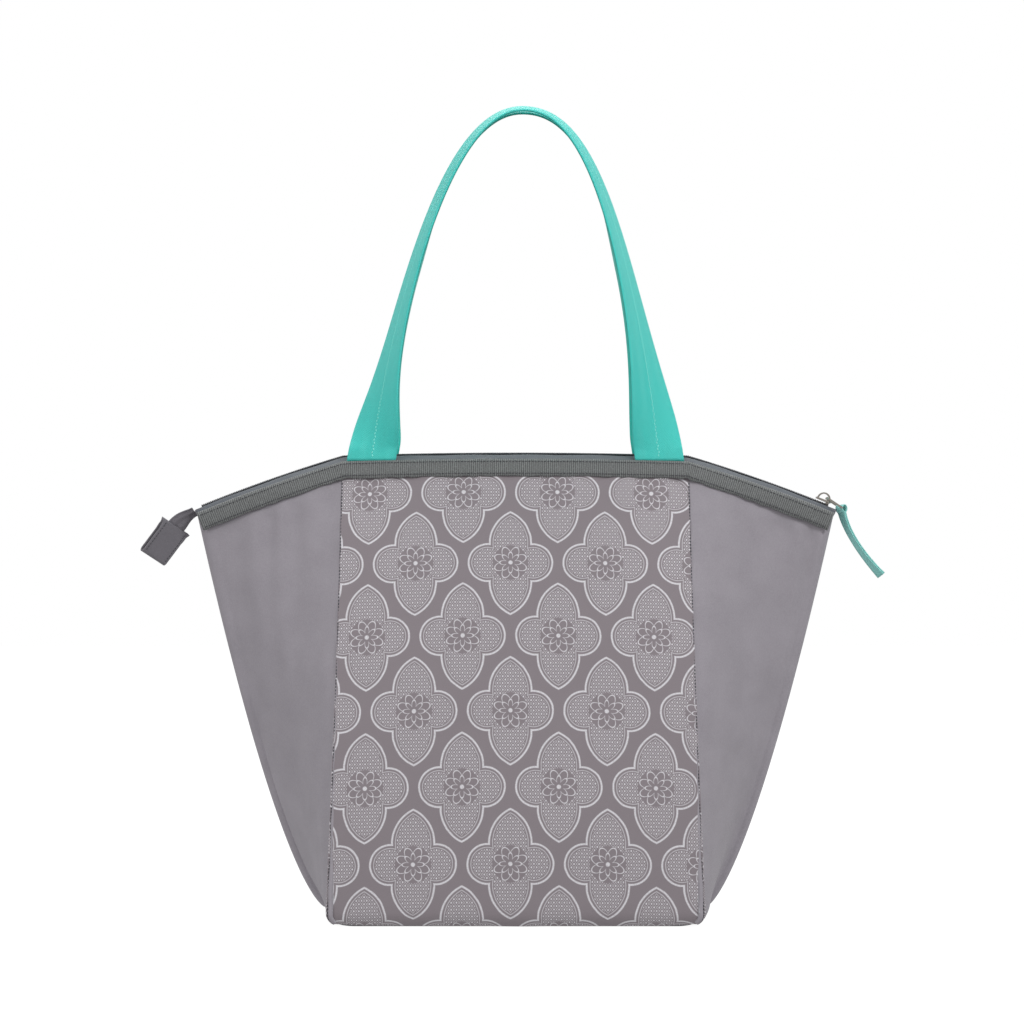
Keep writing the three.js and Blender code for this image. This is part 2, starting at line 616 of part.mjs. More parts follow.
const handleStations = [
  ...endStations,
  ...spaced(220, archLength - 220, 14),
  ...endStations.map((s) => archLength - s).reverse(),
];
for (const [end, sy] of [["front", 1], ["back", -1]]) {
  add(`${end}_handle`, ribbonLoft((s) => handleFrame(s, sy), handleStations, STRAP_WIDTH, STRAP_THICK), TEAL);
}

export default bag;
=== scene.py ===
"""The cooler bag's looks: fabrics, print, binding, zip, straps and stitches, built round the CAD frame."""
import math

import bmesh
import bpy
import numpy as np
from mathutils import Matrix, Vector, noise


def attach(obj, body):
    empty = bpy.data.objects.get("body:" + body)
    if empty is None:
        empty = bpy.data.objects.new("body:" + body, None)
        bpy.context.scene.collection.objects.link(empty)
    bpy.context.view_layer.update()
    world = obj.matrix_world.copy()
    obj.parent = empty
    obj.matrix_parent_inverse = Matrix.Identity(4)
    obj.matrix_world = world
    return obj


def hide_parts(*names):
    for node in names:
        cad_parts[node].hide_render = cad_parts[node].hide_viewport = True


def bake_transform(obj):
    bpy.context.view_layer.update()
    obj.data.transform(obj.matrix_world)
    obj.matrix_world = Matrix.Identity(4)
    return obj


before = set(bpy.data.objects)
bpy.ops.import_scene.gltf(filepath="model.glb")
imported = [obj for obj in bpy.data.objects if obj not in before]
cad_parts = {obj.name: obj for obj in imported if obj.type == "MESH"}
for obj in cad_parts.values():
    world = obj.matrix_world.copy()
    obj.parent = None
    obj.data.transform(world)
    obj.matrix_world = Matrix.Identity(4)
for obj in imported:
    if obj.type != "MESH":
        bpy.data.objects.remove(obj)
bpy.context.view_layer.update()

MM = 0.001
# ---- The CAD part's driving dimensions, in millimetres ----
TOP_Z, TOP_ARCH = 322.5, 2.0
BASE_DEPTH, TOP_DEPTH, DEPTH_POWER = 80.0, 14.0, 1.8
SEAM_TOP, SEAM_FLARE = 124.5, 7.0
CREASE_FOOT, CREASE_TOP, CREASE_POWER = 138.0, 231.0, 0.68
FOLD_FOOT, FOLD_TOP = 4.6, 9.0
WING_DROP, WING_DROOP = 0.3, 0.0005
WING_REACH = CREASE_TOP - SEAM_TOP
CREASE_TOP_Z = TOP_Z - WING_DROP * WING_REACH - WING_DROOP * WING_REACH**2
EDGE_RISE = WING_DROOP * WING_REACH**2 / 4
ZIP_RISE, ZIP_END = 4.4, 225.5
EDGE_LENGTH = 2 * (SEAM_TOP + math.hypot(WING_REACH, TOP_Z - CREASE_TOP_Z))  # along the top edge
BAND_HEIGHT = 12.0
STRAP_WIDTH, STRAP_THICK, STRAP_X = 36.0, 2.4, 104.0
STRAP_SUNK = 2.3  # a strap's middle line lies this deep at its sewn end
HANDLE_TOP = (5.0, 576.5)
SLIDER_X, EYE_X, EYE_Z = 221.0, 2.0, 5.0
RING_REACH, RING_DIP = 12.6, math.radians(12)
# ---- The cloths, in millimetres ----
PRINT_PITCH, PRINT_ROW, PRINT_TOP = 67.2, 52.8, 24.5  # the repeat across, from row to row, and the first row
PRINT_ODD, PRINT_EVEN = 30.0, -3.6  # where the odd and the even rows' medallions stand
STITCH = 2.3  # from one stitch to the next
FINE_STITCH = {"half_length": 0.85, "radius": 0.3}
SEAM_STITCH = {"half_length": 0.95, "radius": 0.42}
STRAP_STITCH = {"half_length": 0.9, "radius": 0.36, "flat": 0.7}
BAND_SEAM, BAND_SEAM_HALF = 12.5, 3.5  # the stitched dip under the band, below the top edge
BAND_PINCH = (8, 20)  # the padding is thin above the first of these and full below the second
PANEL_DEPTHS = {"skin": 1.0, "foam": 3.6, "lining": 5.3, "lining_wave": 0.7, "lining_thick": 0.5}
WING_DEPTHS = {"skin": 0.9, "foam": 2.4, "lining": 3.9, "lining_wave": 0.6, "lining_thick": 0.4}
WING_LINING_LEAST = 0.3  # the lining's depth right at the fold
SEAM_DEPTH = 1.5  # the cloth is pulled in this far along the seams
CORNER_ROUND = 6.0  # the top edge turns over this distance, each side of a seam
TAPE_DEPTH, TAPE_THICK, COIL_SIDE = 4.3, 0.6, 4.3
COIL_PITCH, COIL_OFF, COIL_TURN = 1.25, 1.35, {"half_length": 1.85, "radius": 0.5, "flat": 2.7}
BINDING_CUT, TAPE_CUT = (17.5, "folded"), (19.0, "stretched")  # each cloth's flat width, and how it is held
BASE_HALVES, BASE_CORNER = (124.5, 132.0, 74.2), 10.0  # half the length, that at the folds, half the depth
BASE_TOP, BASE_LINING = 9.4, (124, 73)  # the lining's height, and half its sides
ROOT_LENGTH = 10.4  # a strap's sewn-in end
RIBBON_WIDTH, RIBBON_LOOP = 7.0, 0.07  # the ribbon's loop round the ring takes this share of its length


# ---- Small helpers ----
def smooth(x, a, b):
    t = np.clip((np.asarray(x, float) - a) / (b - a), 0, 1)
    return t * t * (3 - 2 * t)


def unit(v):
    return v / np.maximum(np.linalg.norm(v, axis=-1, keepdims=True), 1e-9)


def square_to(across, tangent):
    """across, turned so that it is square to the tangent."""
    return unit(across - tangent * np.sum(across * tangent, -1, keepdims=True))


def ripple(points, size, seed):
    """Smooth noise, about -1 to 1, at each point, with features of that size in millimetres."""
    flat = points.reshape(-1, 3) / size + seed
    return np.array([noise.noise(Vector(p)) for p in flat]).reshape(points.shape[:-1]) * 1.7


def make(name, vertices, faces, uvs=None, materials=()):
    """A mesh object from millimetre points. uvs holds one pair for each vertex, in millimetres."""
    mesh = bpy.data.meshes.new(name)
    mesh.from_pydata((np.asarray(vertices, float) * MM).tolist(), [], [tuple(f) for f in faces])
    if uvs is not None:
        layer = mesh.uv_layers.new(name="cloth")
        index = np.empty(len(mesh.loops), np.int32)
        mesh.loops.foreach_get("vertex_index", index)
        layer.data.foreach_set("uv", (np.asarray(uvs, float)[index]).ravel())
    mesh.polygons.foreach_set("use_smooth", [True] * len(mesh.polygons))
    for material in materials:
        mesh.materials.append(material)
    mesh.update()
    obj = bpy.data.objects.new(name, mesh)
    bpy.context.scene.collection.objects.link(obj)
    return obj


def grid_faces(rows, cols, start=0, flip=False, wrap=False):
    faces = []
    for j in range(rows - 1):
        for i in range(cols if wrap else cols - 1):
            a, b = start + j * cols + i, start + j * cols + (i + 1) % cols
            face = (a, b, b + cols, a + cols)
            faces.append(face[::-1] if flip else face)
    return faces


def sheet(name, outer, inner, uv, material, flip=False):
    """A closed sheet between two grids of points."""
    rows, cols = outer.shape[:2]
    n = rows * cols
    faces = grid_faces(rows, cols, 0, flip) + grid_faces(rows, cols, n, not flip)
    rim = [(0, i) for i in range(cols)] + [(j, cols - 1) for j in range(1, rows)]
    rim += [(rows - 1, i) for i in range(cols - 2, -1, -1)] + [(j, 0) for j in range(rows - 2, 0, -1)]
    for (ja, ia), (jb, ib) in zip(rim, rim[1:] + rim[:1]):
        a, b = ja * cols + ia, jb * cols + ib
        face = (b, a, a + n, b + n)
        faces.append(face[::-1] if flip else face)
    points = np.concatenate([outer.reshape(-1, 3), inner.reshape(-1, 3)])
    uvs = np.concatenate([uv.reshape(-1, 2)] * 2)
    return make(name, points, faces, uvs, [material])


def tube_faces(rows, cols):
    """Faces round a tube of closed rings, and over both ends."""
    ends = [tuple(range(cols))[::-1], tuple(range((rows - 1) * cols, rows * cols))]
    return grid_faces(rows, cols, wrap=True) + ends


def tube(name, rings, uv, material):
    """A solid through closed rings: rings[k, i] with the same number of points in each."""
    faces = tube_faces(*rings.shape[:2])
    return make(name, rings.reshape(-1, 3), faces, uv.reshape(-1, 2), [material])


def facing_out(obj):
    """Turns a closed mesh's faces the right way out."""
    bm = bmesh.new()
    bm.from_mesh(obj.data)
    bmesh.ops.recalc_face_normals(bm, faces=bm.faces)
    bm.to_mesh(obj.data)
    bm.free()
    return obj


def declare_sheet(width, span, share=None):
    """width and span are the flat cut in millimetres, and share is how much of that rectangle it fills."""
    area = None if share is None else share * width * span * MM**2
    width * MM
    span * MM


def above_floor(points, clearance=0.2):
    """Keeps cloth from sinking into the floor."""
    return np.concatenate([points[..., :2], np.maximum(points[..., 2:], clearance)], -1)


# ---- Materials from expressions ----
class Ink:
    """A value in a material's node tree, so that a pattern can be written as arithmetic."""

    def __init__(self, tree, socket):
        self.tree, self.socket = tree, socket

    def _op(self, name, *others):
        node = self.tree.nodes.new("ShaderNodeMath")
        node.operation = name
        for slot, value in zip(node.inputs, (self, *others)):
            if isinstance(value, Ink):
                self.tree.links.new(value.socket, slot)
            else:
                slot.default_value = float(value)
        return Ink(self.tree, node.outputs[0])

    def __add__(self, o):
        return self._op("ADD", o)

    def __sub__(self, o):
        return self._op("SUBTRACT", o)

    def __mul__(self, o):
        return self._op("MULTIPLY", o)

    def __truediv__(self, o):
        return self._op("DIVIDE", o)

    def abs(self):
        return self._op("ABSOLUTE")

    def sin(self):
        return self._op("SINE")

    def cos(self):
        return self._op("COSINE")

    def sqrt(self):
        return self._op("SQRT")

    def max(self, o):
        return self._op("MAXIMUM", o)

    def min(self, o):
        return self._op("MINIMUM", o)

    def angle(self, o):
        return self._op("ARCTAN2", o)

    def wrap(self, size):
        """Folds a coordinate into -size/2 to size/2."""
        return self._op("WRAP", size / 2, -size / 2)

    def step(self, a, b):
        """0 below a and 1 above b, smooth between them; b may be less than a."""
        node = self.tree.nodes.new("ShaderNodeMapRange")
        node.interpolation_type = "SMOOTHSTEP"
        low, high, ends = (a, b, (0.0, 1.0)) if a < b else (b, a, (1.0, 0.0))
        self.tree.links.new(self.socket, node.inputs["Value"])
        node.inputs["From Min"].default_value = low
        node.inputs["From Max"].default_value = high
        node.inputs["To Min"].default_value, node.inputs["To Max"].default_value = ends
        return Ink(self.tree, node.outputs["Result"])

    def line(self, half, soft=0.25):
        """1 where the value is within half of zero."""
        return self.abs().step(half + soft, half - soft)


def length(x, y):
    return (x * x + y * y).sqrt()


class Finish:
    """A fabric or metal material, with the cloth's own coordinates in millimetres."""

    def __init__(self, name, roughness=0.85, metallic=0.0, sheen=0.0):
        self.material = bpy.data.materials.new(name)
        self.material.use_nodes = True
        self.tree = self.material.node_tree
        self.shader = self.tree.nodes["Principled BSDF"]
        self.shader.inputs["Roughness"].default_value = roughness
        self.shader.inputs["Metallic"].default_value = metallic
        self.shader.inputs["Sheen Weight"].default_value = sheen
        uv = self.tree.nodes.new("ShaderNodeUVMap")
        uv.uv_map = "cloth"
        split = self.tree.nodes.new("ShaderNodeSeparateXYZ")
        self.tree.links.new(uv.outputs["UV"], split.inputs["Vector"])
        self.u, self.v = (Ink(self.tree, split.outputs[k]) for k in ("X", "Y"))
        self.coordinates = self.tree.nodes.new("ShaderNodeTexCoord")

    def noise(self, per_metre, detail):
        """Noise in space, about 0 to 1."""
        made = self.tree.nodes.new("ShaderNodeTexNoise")
        made.inputs["Scale"].default_value = per_metre
        made.inputs["Detail"].default_value = detail
        self.tree.links.new(self.coordinates.outputs["Object"], made.inputs["Vector"])
        return Ink(self.tree, made.outputs["Fac"])

    def mix(self, share, a, b):
        """A colour between a and b, each a colour or an earlier mix."""
        node = self.tree.nodes.new("ShaderNodeMix")
        node.data_type = "RGBA"
        self.tree.links.new(share.socket, node.inputs["Factor"])
        for slot, value in ((node.inputs[6], a), (node.inputs[7], b)):
            if isinstance(value, bpy.types.NodeSocket):
                self.tree.links.new(value, slot)
            else:
                slot.default_value = (*value, 1.0)
        return node.outputs[2]

    def colour(self, socket):
        self.tree.links.new(socket, self.shader.inputs["Base Color"])

    def rough(self, ink):
        self.tree.links.new(ink.socket, self.shader.inputs["Roughness"])

    def relief(self, height, depth_mm):
        """height is 0 to 1."""
        node = self.tree.nodes.new("ShaderNodeBump")
        node.inputs["Distance"].default_value = depth_mm * MM
        self.tree.links.new(height.socket, node.inputs["Height"])
        self.tree.links.new(node.outputs["Normal"], self.shader.inputs["Normal"])


def srgb(*levels):
    """A linear colour from 0 to 255 display levels."""
    return tuple(((c / 255 + 0.055) / 1.055) ** 2.4 if c > 10 else c / 255 / 12.92 for c in levels)


def scaled(colour, gain):
    return tuple(c * gain for c in colour)


TURN = 2 * math.pi


def weave(f, pitch):
    """A plain weave's height, 0 to 1."""
    over = (f.u * (TURN / pitch)).sin() * (f.v * (TURN / pitch)).sin()
    threads = (f.u * (TURN / pitch * 2)).cos().max((f.v * (TURN / pitch * 2)).cos())
    return over * 0.3 + threads * 0.2 + 0.5


def woven(name, colour, dark=0.86, pitch=0.9, depth=0.12):
    f = Finish(name, roughness=0.88, sheen=0.15)
    height = weave(f, pitch)
    mottle = f.noise(900, 4) * 0.5 + f.noise(45, 2) * 0.5
    shade = (height * 0.55 + mottle * 0.45).step(0.25, 0.75)
    light = 2 - dark / 1.03  # about as far above the colour as dark is below it
    f.colour(f.mix(shade, scaled(colour, dark), scaled(colour, light)))
    f.relief(height, depth)
    return f.material


def medallion(x, y):
    """The light parts of one printed quatrefoil, 0 to 1, at x and y millimetres from its middle."""
    ax, ay = x.abs(), y.abs()
    # Two round side lobes, and a pointed lobe above and below where two discs meet.
    side = length(ax - 16.0, ay) - 14.5
    lobe = length(ax + 10.8, ay - 14.5) - 26.3
    edge = side.min(lobe)
    outline = (edge + 0.85).line(0.65, 0.3).max((edge + 3.2).line(0.3, 0.25) * 0.7)
    # A rosette of two rings of petals in the middle, round a small disc.
    r, turn = length(x, y), x.angle(y)
    petals = (r - 3.4 - (turn * 4.0).cos().abs() * 4.2).line(0.45, 0.3)
    sepals = (r - 7.6 - (turn * 4.0).sin().abs() * 4.4).line(0.4, 0.3)
    disc = (r - 1.5).step(0.3, -0.3)
    # The rest is a trellis of slanting lines with a dot in each diamond.
    pitch = 3.6
    lean, counter = x + y * 0.75, x - y * 0.75
    bars = lean.wrap(pitch).line(0.2, 0.25).max(counter.wrap(pitch).line(0.2, 0.25))
    dots = length((lean + pitch / 2).wrap(pitch), (counter + pitch / 2).wrap(pitch)).step(0.95, 0.55)
    field = (r - 12.6).step(-0.2, 0.4) * (edge + 4.2).step(0.2, -0.2)
    trellis = (bars * 0.75).max(dots) * field
    return outline.max(petals).max(sepals).max(disc).max(trellis)


def printed(name):
    f = Finish(name, 0.86, sheen=0.1)
    wobble = (f.noise(160, 3) - 0.5) * 0.7
    x, y = f.u + wobble, f.v + wobble * 0.7
    odd = medallion((x - PRINT_ODD).wrap(PRINT_PITCH), (y + PRINT_TOP).wrap(2 * PRINT_ROW))
    even = medallion((x - PRINT_EVEN).wrap(PRINT_PITCH), (y + PRINT_TOP + PRINT_ROW).wrap(2 * PRINT_ROW))
    threads = weave(f, 0.8)
    worn = f.noise(1500, 3).step(0.3, 0.62) * 0.3 + 0.7
    ground = f.mix(threads, srgb(120, 112, 117), srgb(153, 144, 149))
    ink = f.mix(threads, srgb(206, 203, 208), srgb(240, 238, 243))
    f.colour(f.mix(odd.max(even) * worn, ground, ink))
    f.relief(threads, 0.1)
    return f.material


def ribbed(name, colour):
    """Grosgrain: ribs run across the band, with the cloth's u along it."""
    f = Finish(name, 0.82, sheen=0.2)
    rib_pitch, cross_pitch = 1.5, 0.7
    rib = (f.u * (TURN / rib_pitch)).cos() * 0.5 + 0.5
    cross = (f.v * (TURN / cross_pitch)).cos() * 0.5 + 0.5
    shade = rib * 0.75 + f.noise(700, 3) * 0.25
    fleck = f.noise(1400, 2).step(0.52, 0.7)
    body = f.mix(shade, scaled(colour, 0.38), scaled(colour, 1.5))
    f.colour(f.mix(fleck * 0.55, body, scaled(colour, 1.9)))
    f.relief(rib * 0.85 + cross * 0.15, 0.35)
    return f.material


TWILL_COLUMN = 4.75
SHADED_INNER_FACE = 20 * TWILL_COLUMN  # added to the cloth's u on a strap's inner face, which the webbing paints in shade, a deeper teal than the outer face


def webbing(name, base, light):
    """Herringbone twill: diagonals that turn back at each column, with u across the strap. The outer face's
    twill runs up to light, a painted highlight, and the inner face is a deeper teal as painted shade.
    """
    f = Finish(name, 0.42, sheen=0.12)
    # inner marks the strap's inner face, painted in shade; the outer face's twill runs up to light, a painted
    # highlight
    inner = f.u.step(SHADED_INNER_FACE * 0.45, SHADED_INNER_FACE * 0.55)
    column = (f.u / TWILL_COLUMN).wrap(2.0).abs()
    twill_pitch, thread_pitch = 1.15, 0.55
    twill = ((f.v + column * TWILL_COLUMN) * (TURN / twill_pitch)).sin() * 0.5 + 0.5
    thread = ((f.v - column * TWILL_COLUMN) * (TURN / thread_pitch)).sin() * 0.5 + 0.5
    shade = twill * 0.6 + thread * 0.15 + f.noise(600, 3) * 0.25
    outer = f.mix(shade, scaled(base, 0.66), light)
    f.colour(f.mix(inner, outer, f.mix(shade, scaled(base, 0.7), scaled(base, 1.1))))
    f.rough(twill * -0.12 + 0.5)
    f.relief(twill * 0.8 + thread * 0.2, 0.22)
    return f.material


def plain(name, colour, roughness, metallic=0.0, grain=900, depth=0.05, spread=0.12):
    f = Finish(name, roughness, metallic)
    mottle = f.noise(grain, 4)
    f.colour(f.mix(mottle, scaled(colour, 1 - spread), scaled(colour, 1 + spread)))
    f.rough(mottle * 0.15 + (roughness - 0.07))
    f.relief(mottle, depth)
    return f.material


GREY = woven("outer_fabric", srgb(151, 146, 153), dark=0.78)
PRINT = printed("printed_fabric")
BAND = ribbed("grosgrain", srgb(112, 114, 114))
# Each webbing's second colour is a painted highlight, taken by the light twill threads of its outer faces.
TEAL = webbing("webbing", srgb(0, 212, 197), srgb(96, 250, 240))
RIBBON = webbing("ribbon_cloth", srgb(84, 226, 214), srgb(190, 250, 245))
TAPE = woven("zip_tape", srgb(92, 96, 102), pitch=0.7, depth=0.08)
COIL = plain("zip_coil", srgb(58, 60, 66), 0.4)
NICKEL = plain("nickel", srgb(176, 170, 162), 0.28, 1.0, grain=350, depth=0.01, spread=0.06)
LINER = plain("liner", srgb(190, 193, 197), 0.32, grain=140, depth=0.5, spread=0.05)
BASE = woven("base_fabric", srgb(92, 90, 95), pitch=1.1)
THREAD = plain("thread_grey", srgb(66, 66, 72), 0.6)
THREAD_TEAL = plain("thread_teal", srgb(150, 244, 234), 0.45)
TAB = woven("tab_fabric", srgb(116, 113, 119), dark=0.78, pitch=0.8)


# ---- The bag's shape ----
def half_depth(z):
    return TOP_DEPTH + (BASE_DEPTH - TOP_DEPTH) * (1 - np.maximum(z / TOP_Z, 0) ** DEPTH_POWER)


def seam_x(z):
    return SEAM_TOP + SEAM_FLARE * (1 - z / TOP_Z) ** 2


def crease_x(z):
    return CREASE_FOOT + (CREASE_TOP - CREASE_FOOT) * np.maximum(z / CREASE_TOP_Z, 0) ** CREASE_POWER


def fold_half(v):
    return FOLD_FOOT + (FOLD_TOP - FOLD_FOOT) * v**4


def top_edge(x):
    past = np.abs(x) - SEAM_TOP
    panel = TOP_Z + TOP_ARCH * (1 - (x / SEAM_TOP) ** 2)
    return np.where(past < 0, panel, TOP_Z - WING_DROP * past - WING_DROOP * past**2)


def wing_slope(x):
    """The top edge's slope at x on a wing."""
    past = abs(x) - SEAM_TOP
    return -math.copysign(WING_DROP + 2 * WING_DROOP * past, x)


def panel_surface(u, v):
    """Front centre panel: u 0 to 1 across, v 0 to 1 up."""
    side = 2 * u - 1
    z = v * top_edge(side * SEAM_TOP)
    return np.stack([side * seam_x(z), -half_depth(z), z], -1)


FOLD_START = 0.9  # the wing is flat up to this share of its width, and then turns round the fold
FOLD_NOSE = 1.3  # how far the fold reaches out, in half thicknesses


def wing_surface(u, v):
    """Front right wing: u 0 at the seam to 1 at the fold's middle, v 0 to 1 up."""
    zs, zc = v * TOP_Z, v * CREASE_TOP_Z
    fold = fold_half(v)
    sx, sy = seam_x(zs), -half_depth(zs)
    cx = crease_x(zc)
    flat = np.minimum(u / FOLD_START, 1.0)
    swing = np.clip((u - FOLD_START) / (1 - FOLD_START), 0, 1) * math.pi / 2
    nose = FOLD_NOSE * fold
    fx, fy = cx - nose, -fold
    x = np.where(u < FOLD_START, sx + (fx - sx) * flat, fx + nose * np.sin(swing))
    y = np.where(u < FOLD_START, sy + (fy - sy) * flat, fy * np.cos(swing))
    share = (x - sx) / (cx - sx)
    z = zs + (zc - zs) * share + 4 * EDGE_RISE * share * (1 - share) * v**2
    return np.stack([x, y, z], -1)


def hem(points, reach=11.0, pull_x=4.5, pull_y=4.0):
    """Rounds the walls in towards the base near the floor."""
    x, y, z = (points[..., k] for k in range(3))
    low = np.clip(1 - z / reach, 0, 1) ** 2 * np.abs(y) / BASE_DEPTH
    corner = np.minimum(np.abs(x) / (SEAM_TOP + SEAM_FLARE), 1) ** 3
    x, y = x - np.sign(x) * pull_x * corner * low, y - np.sign(y) * pull_y * low
    return np.stack([x, y, z + 0.6 * low], -1)


def normals(points):
    """Unit normals of a grid of points."""
    du = np.gradient(points, axis=1)
    dv = np.gradient(points, axis=0)
    return unit(np.cross(du, dv))


def lengths(points, axis):
    """Distance along the grid in that direction, in millimetres."""
    step = np.linalg.norm(np.diff(points, axis=axis), axis=-1)
    return np.insert(np.cumsum(step, axis=axis), 0, 0, axis=axis)


def end_bias(n, power=1.6):
    """0 to 1 in n steps, closer together at both ends."""
    t = np.linspace(-1, 1, n)
    return 0.5 + 0.5 * np.sign(t) * (1 - (1 - np.abs(t)) ** power)


def bend(obj):
    """Bakes a piece's placement into its mesh."""
    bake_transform(obj)


SIDES = (("front", 1), ("back", -1))
ENDS = (("left", -1), ("right", 1))


def flipped(points, sx, sy):
    return points * np.array([sx, sy, 1.0])


def add_panel(end, sy):
    rows, cols = 150, 120
    u, v = np.meshgrid(end_bias(cols), end_bias(rows, 1.3))
    base = hem(panel_surface(u, v))
    n = normals(base)
    x, below = base[..., 0], lengths(base[::-1], 0)[::-1]
    from_seam = (1 - np.abs(2 * u - 1)) * SEAM_TOP
    from_floor = lengths(base, 0)
    swell = 1.3 * smooth(from_seam, 0, 26) - 1.3 + 0.8 * smooth(from_floor, 0, 18) - 0.8
    drift = 0.9 * ripple(base, 95, 3.1 * sy) + 0.35 * ripple(base, 34, 7.7)
    drift *= smooth(from_seam, 0, 30)
    gather = 0.4 * np.sin(x / 5.2 + 1.3 * np.sin(x / 17)) * np.exp(-((below - 12) / 12) ** 2)
    dip = -0.5 * np.exp(-((below - BAND_SEAM) / BAND_SEAM_HALF) ** 2)
    tucks = 0.25 * np.sin(from_floor / 4.1 + 2 * np.sin(from_floor / 19)) * np.exp(-from_seam / 5)
    out = base + n * (swell + drift + gather + dip + tucks)[..., None]
    depths = PANEL_DEPTHS
    thick = depths["skin"] + depths["foam"] * smooth(below, *BAND_PINCH)
    uv = np.stack([x * sy, -below], -1)
    outside, inside = above_floor(out), above_floor(out - n * thick[..., None])
    panel = sheet(f"{end}_panel_skin", flipped(outside, 1, sy), flipped(inside, 1, sy), uv, PRINT, sy < 0)
    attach(panel, f"{end}_shell")
    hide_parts(f"{end}_panel", f"{end}_panel_foam")
    deep = depths["lining"] + depths["lining_wave"] * ripple(base, 22, 1.7)
    inner = above_floor(base - n * deep[..., None])[::2, ::2]
    behind = above_floor(inner - n[::2, ::2] * depths["lining_thick"])
    name = f"{end}_panel_lining"
    liner = sheet(name, flipped(inner, 1, sy), flipped(behind, 1, sy), uv[::2, ::2], LINER, sy < 0)
    declare_sheet(lengths(inner, 1).max(), lengths(inner, 0).max())
    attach(liner, f"{end}_shell")
    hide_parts(f"{end}_panel_liner")


def add_wing(end, sy, side, sx):
    rows, flat_cols, fold_cols = 130, 56, 14
    flat = np.linspace(0, FOLD_START, flat_cols, endpoint=False)
    across = np.concatenate([flat, np.linspace(FOLD_START, 1, fold_cols)])
    u, v = np.meshgrid(across, end_bias(rows, 1.3))
    base = hem(wing_surface(u, v))
    n = normals(base)
    below, from_floor = lengths(base[::-1], 0)[::-1], lengths(base, 0)
    from_seam = lengths(base, 1)
    from_fold = from_seam[:, -1:] - from_seam
    calm = smooth(from_fold, 2, 16)
    seed = 5.0 * sx + 2.0 * sy
    swell = (1.6 * smooth(from_seam, 0, 14) - 1.6) * smooth(from_fold, 0, 8)
    drift = 2.4 * ripple(base * [1, 1, 0.5], 62, seed) + 0.6 * ripple(base, 27, seed + 3)
    drift *= calm * smooth(from_seam, 0, 12) * (0.15 + 0.85 * smooth(below, 10, 26))
    fade = np.exp(-(np.maximum(below - 10, 0) / 55))
    folds = np.sin(from_seam / 5.6 + 2.4 * np.sin(from_seam / 17 + seed))
    gather = 1.9 * folds * fade * calm * smooth(from_seam, 0, 9) * smooth(below, 11, 24)
    dip = -0.8 * np.exp(-((below - BAND_SEAM) / BAND_SEAM_HALF) ** 2) * calm
    tucks = 0.3 * np.sin(from_floor / 4.6 + 2 * np.sin(from_floor / 15)) * np.exp(-from_seam / 5)
    out = base + n * (swell + drift + gather + dip + tucks)[..., None]
    depths = WING_DEPTHS
    full = depths["skin"] + depths["foam"] * smooth(below, *BAND_PINCH)
    thick = full * (0.35 + 0.65 * smooth(from_fold, 0, 8))
    uv = np.stack([from_seam, -below], -1)
    outside, inside = above_floor(out), above_floor(out - n * thick[..., None])
    name = f"{end}_{side}_wing_skin"
    skin = sheet(name, flipped(outside, sx, sy), flipped(inside, sx, sy), uv, GREY, sx * sy < 0)
    bend(skin)
    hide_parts(f"{end}_{side}_wing", f"{end}_{side}_wing_foam", f"{side}_gusset_fold")
    deep = depths["lining"] * smooth(from_fold, 0, 10) + WING_LINING_LEAST
    deep = deep + depths["lining_wave"] * ripple(base, 20, 9.1) * calm
    inner = above_floor(base - n * deep[..., None])[::2, ::2]
    behind = above_floor(inner - n[::2, ::2] * depths["lining_thick"])
    name = f"{end}_{side}_wing_lining"
    lining = sheet(name, flipped(inner, sx, sy), flipped(behind, sx, sy), uv[::2, ::2], LINER, sx * sy < 0)
    widths, height = lengths(inner, 1)[:, -1], lengths(inner, 0).max()
    declare_sheet(widths.max(), height, widths.mean() / widths.max())
    bend(lining)
    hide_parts(f"{end}_{side}_wing_liner")


# ---- The top edge: binding, tapes and coils ----
def edge_frame(x):
    """The front's top edge at each x: its point on the outer surface, down the cloth, out, up and along."""
    past = np.clip((np.abs(x) - SEAM_TOP) / (CREASE_TOP - SEAM_TOP), 0, 1)
    lean = (BASE_DEPTH - TOP_DEPTH) * DEPTH_POWER / TOP_Z * (1 - 1.1 * past)
    edge = np.where(np.abs(x) < SEAM_TOP, half_depth(top_edge(x)), TOP_DEPTH + (FOLD_TOP - TOP_DEPTH) * past)
    slope = (top_edge(x + CORNER_ROUND) - top_edge(x - CORNER_ROUND)) / (2 * CORNER_ROUND)
    up = unit(np.stack([-slope, np.zeros_like(x), np.ones_like(x)], -1))
    point = np.stack([x, -edge, top_edge(x)], -1)
    down = unit(-up + np.stack([np.zeros_like(x), -lean, np.zeros_like(x)], -1))
    along = unit(np.stack([np.ones_like(x), np.zeros_like(x), slope], -1))
    out = unit(np.cross(along, -down))
    out *= np.where(out[..., 1:2] > 0, -1, 1)
    return point, down, out, up, along


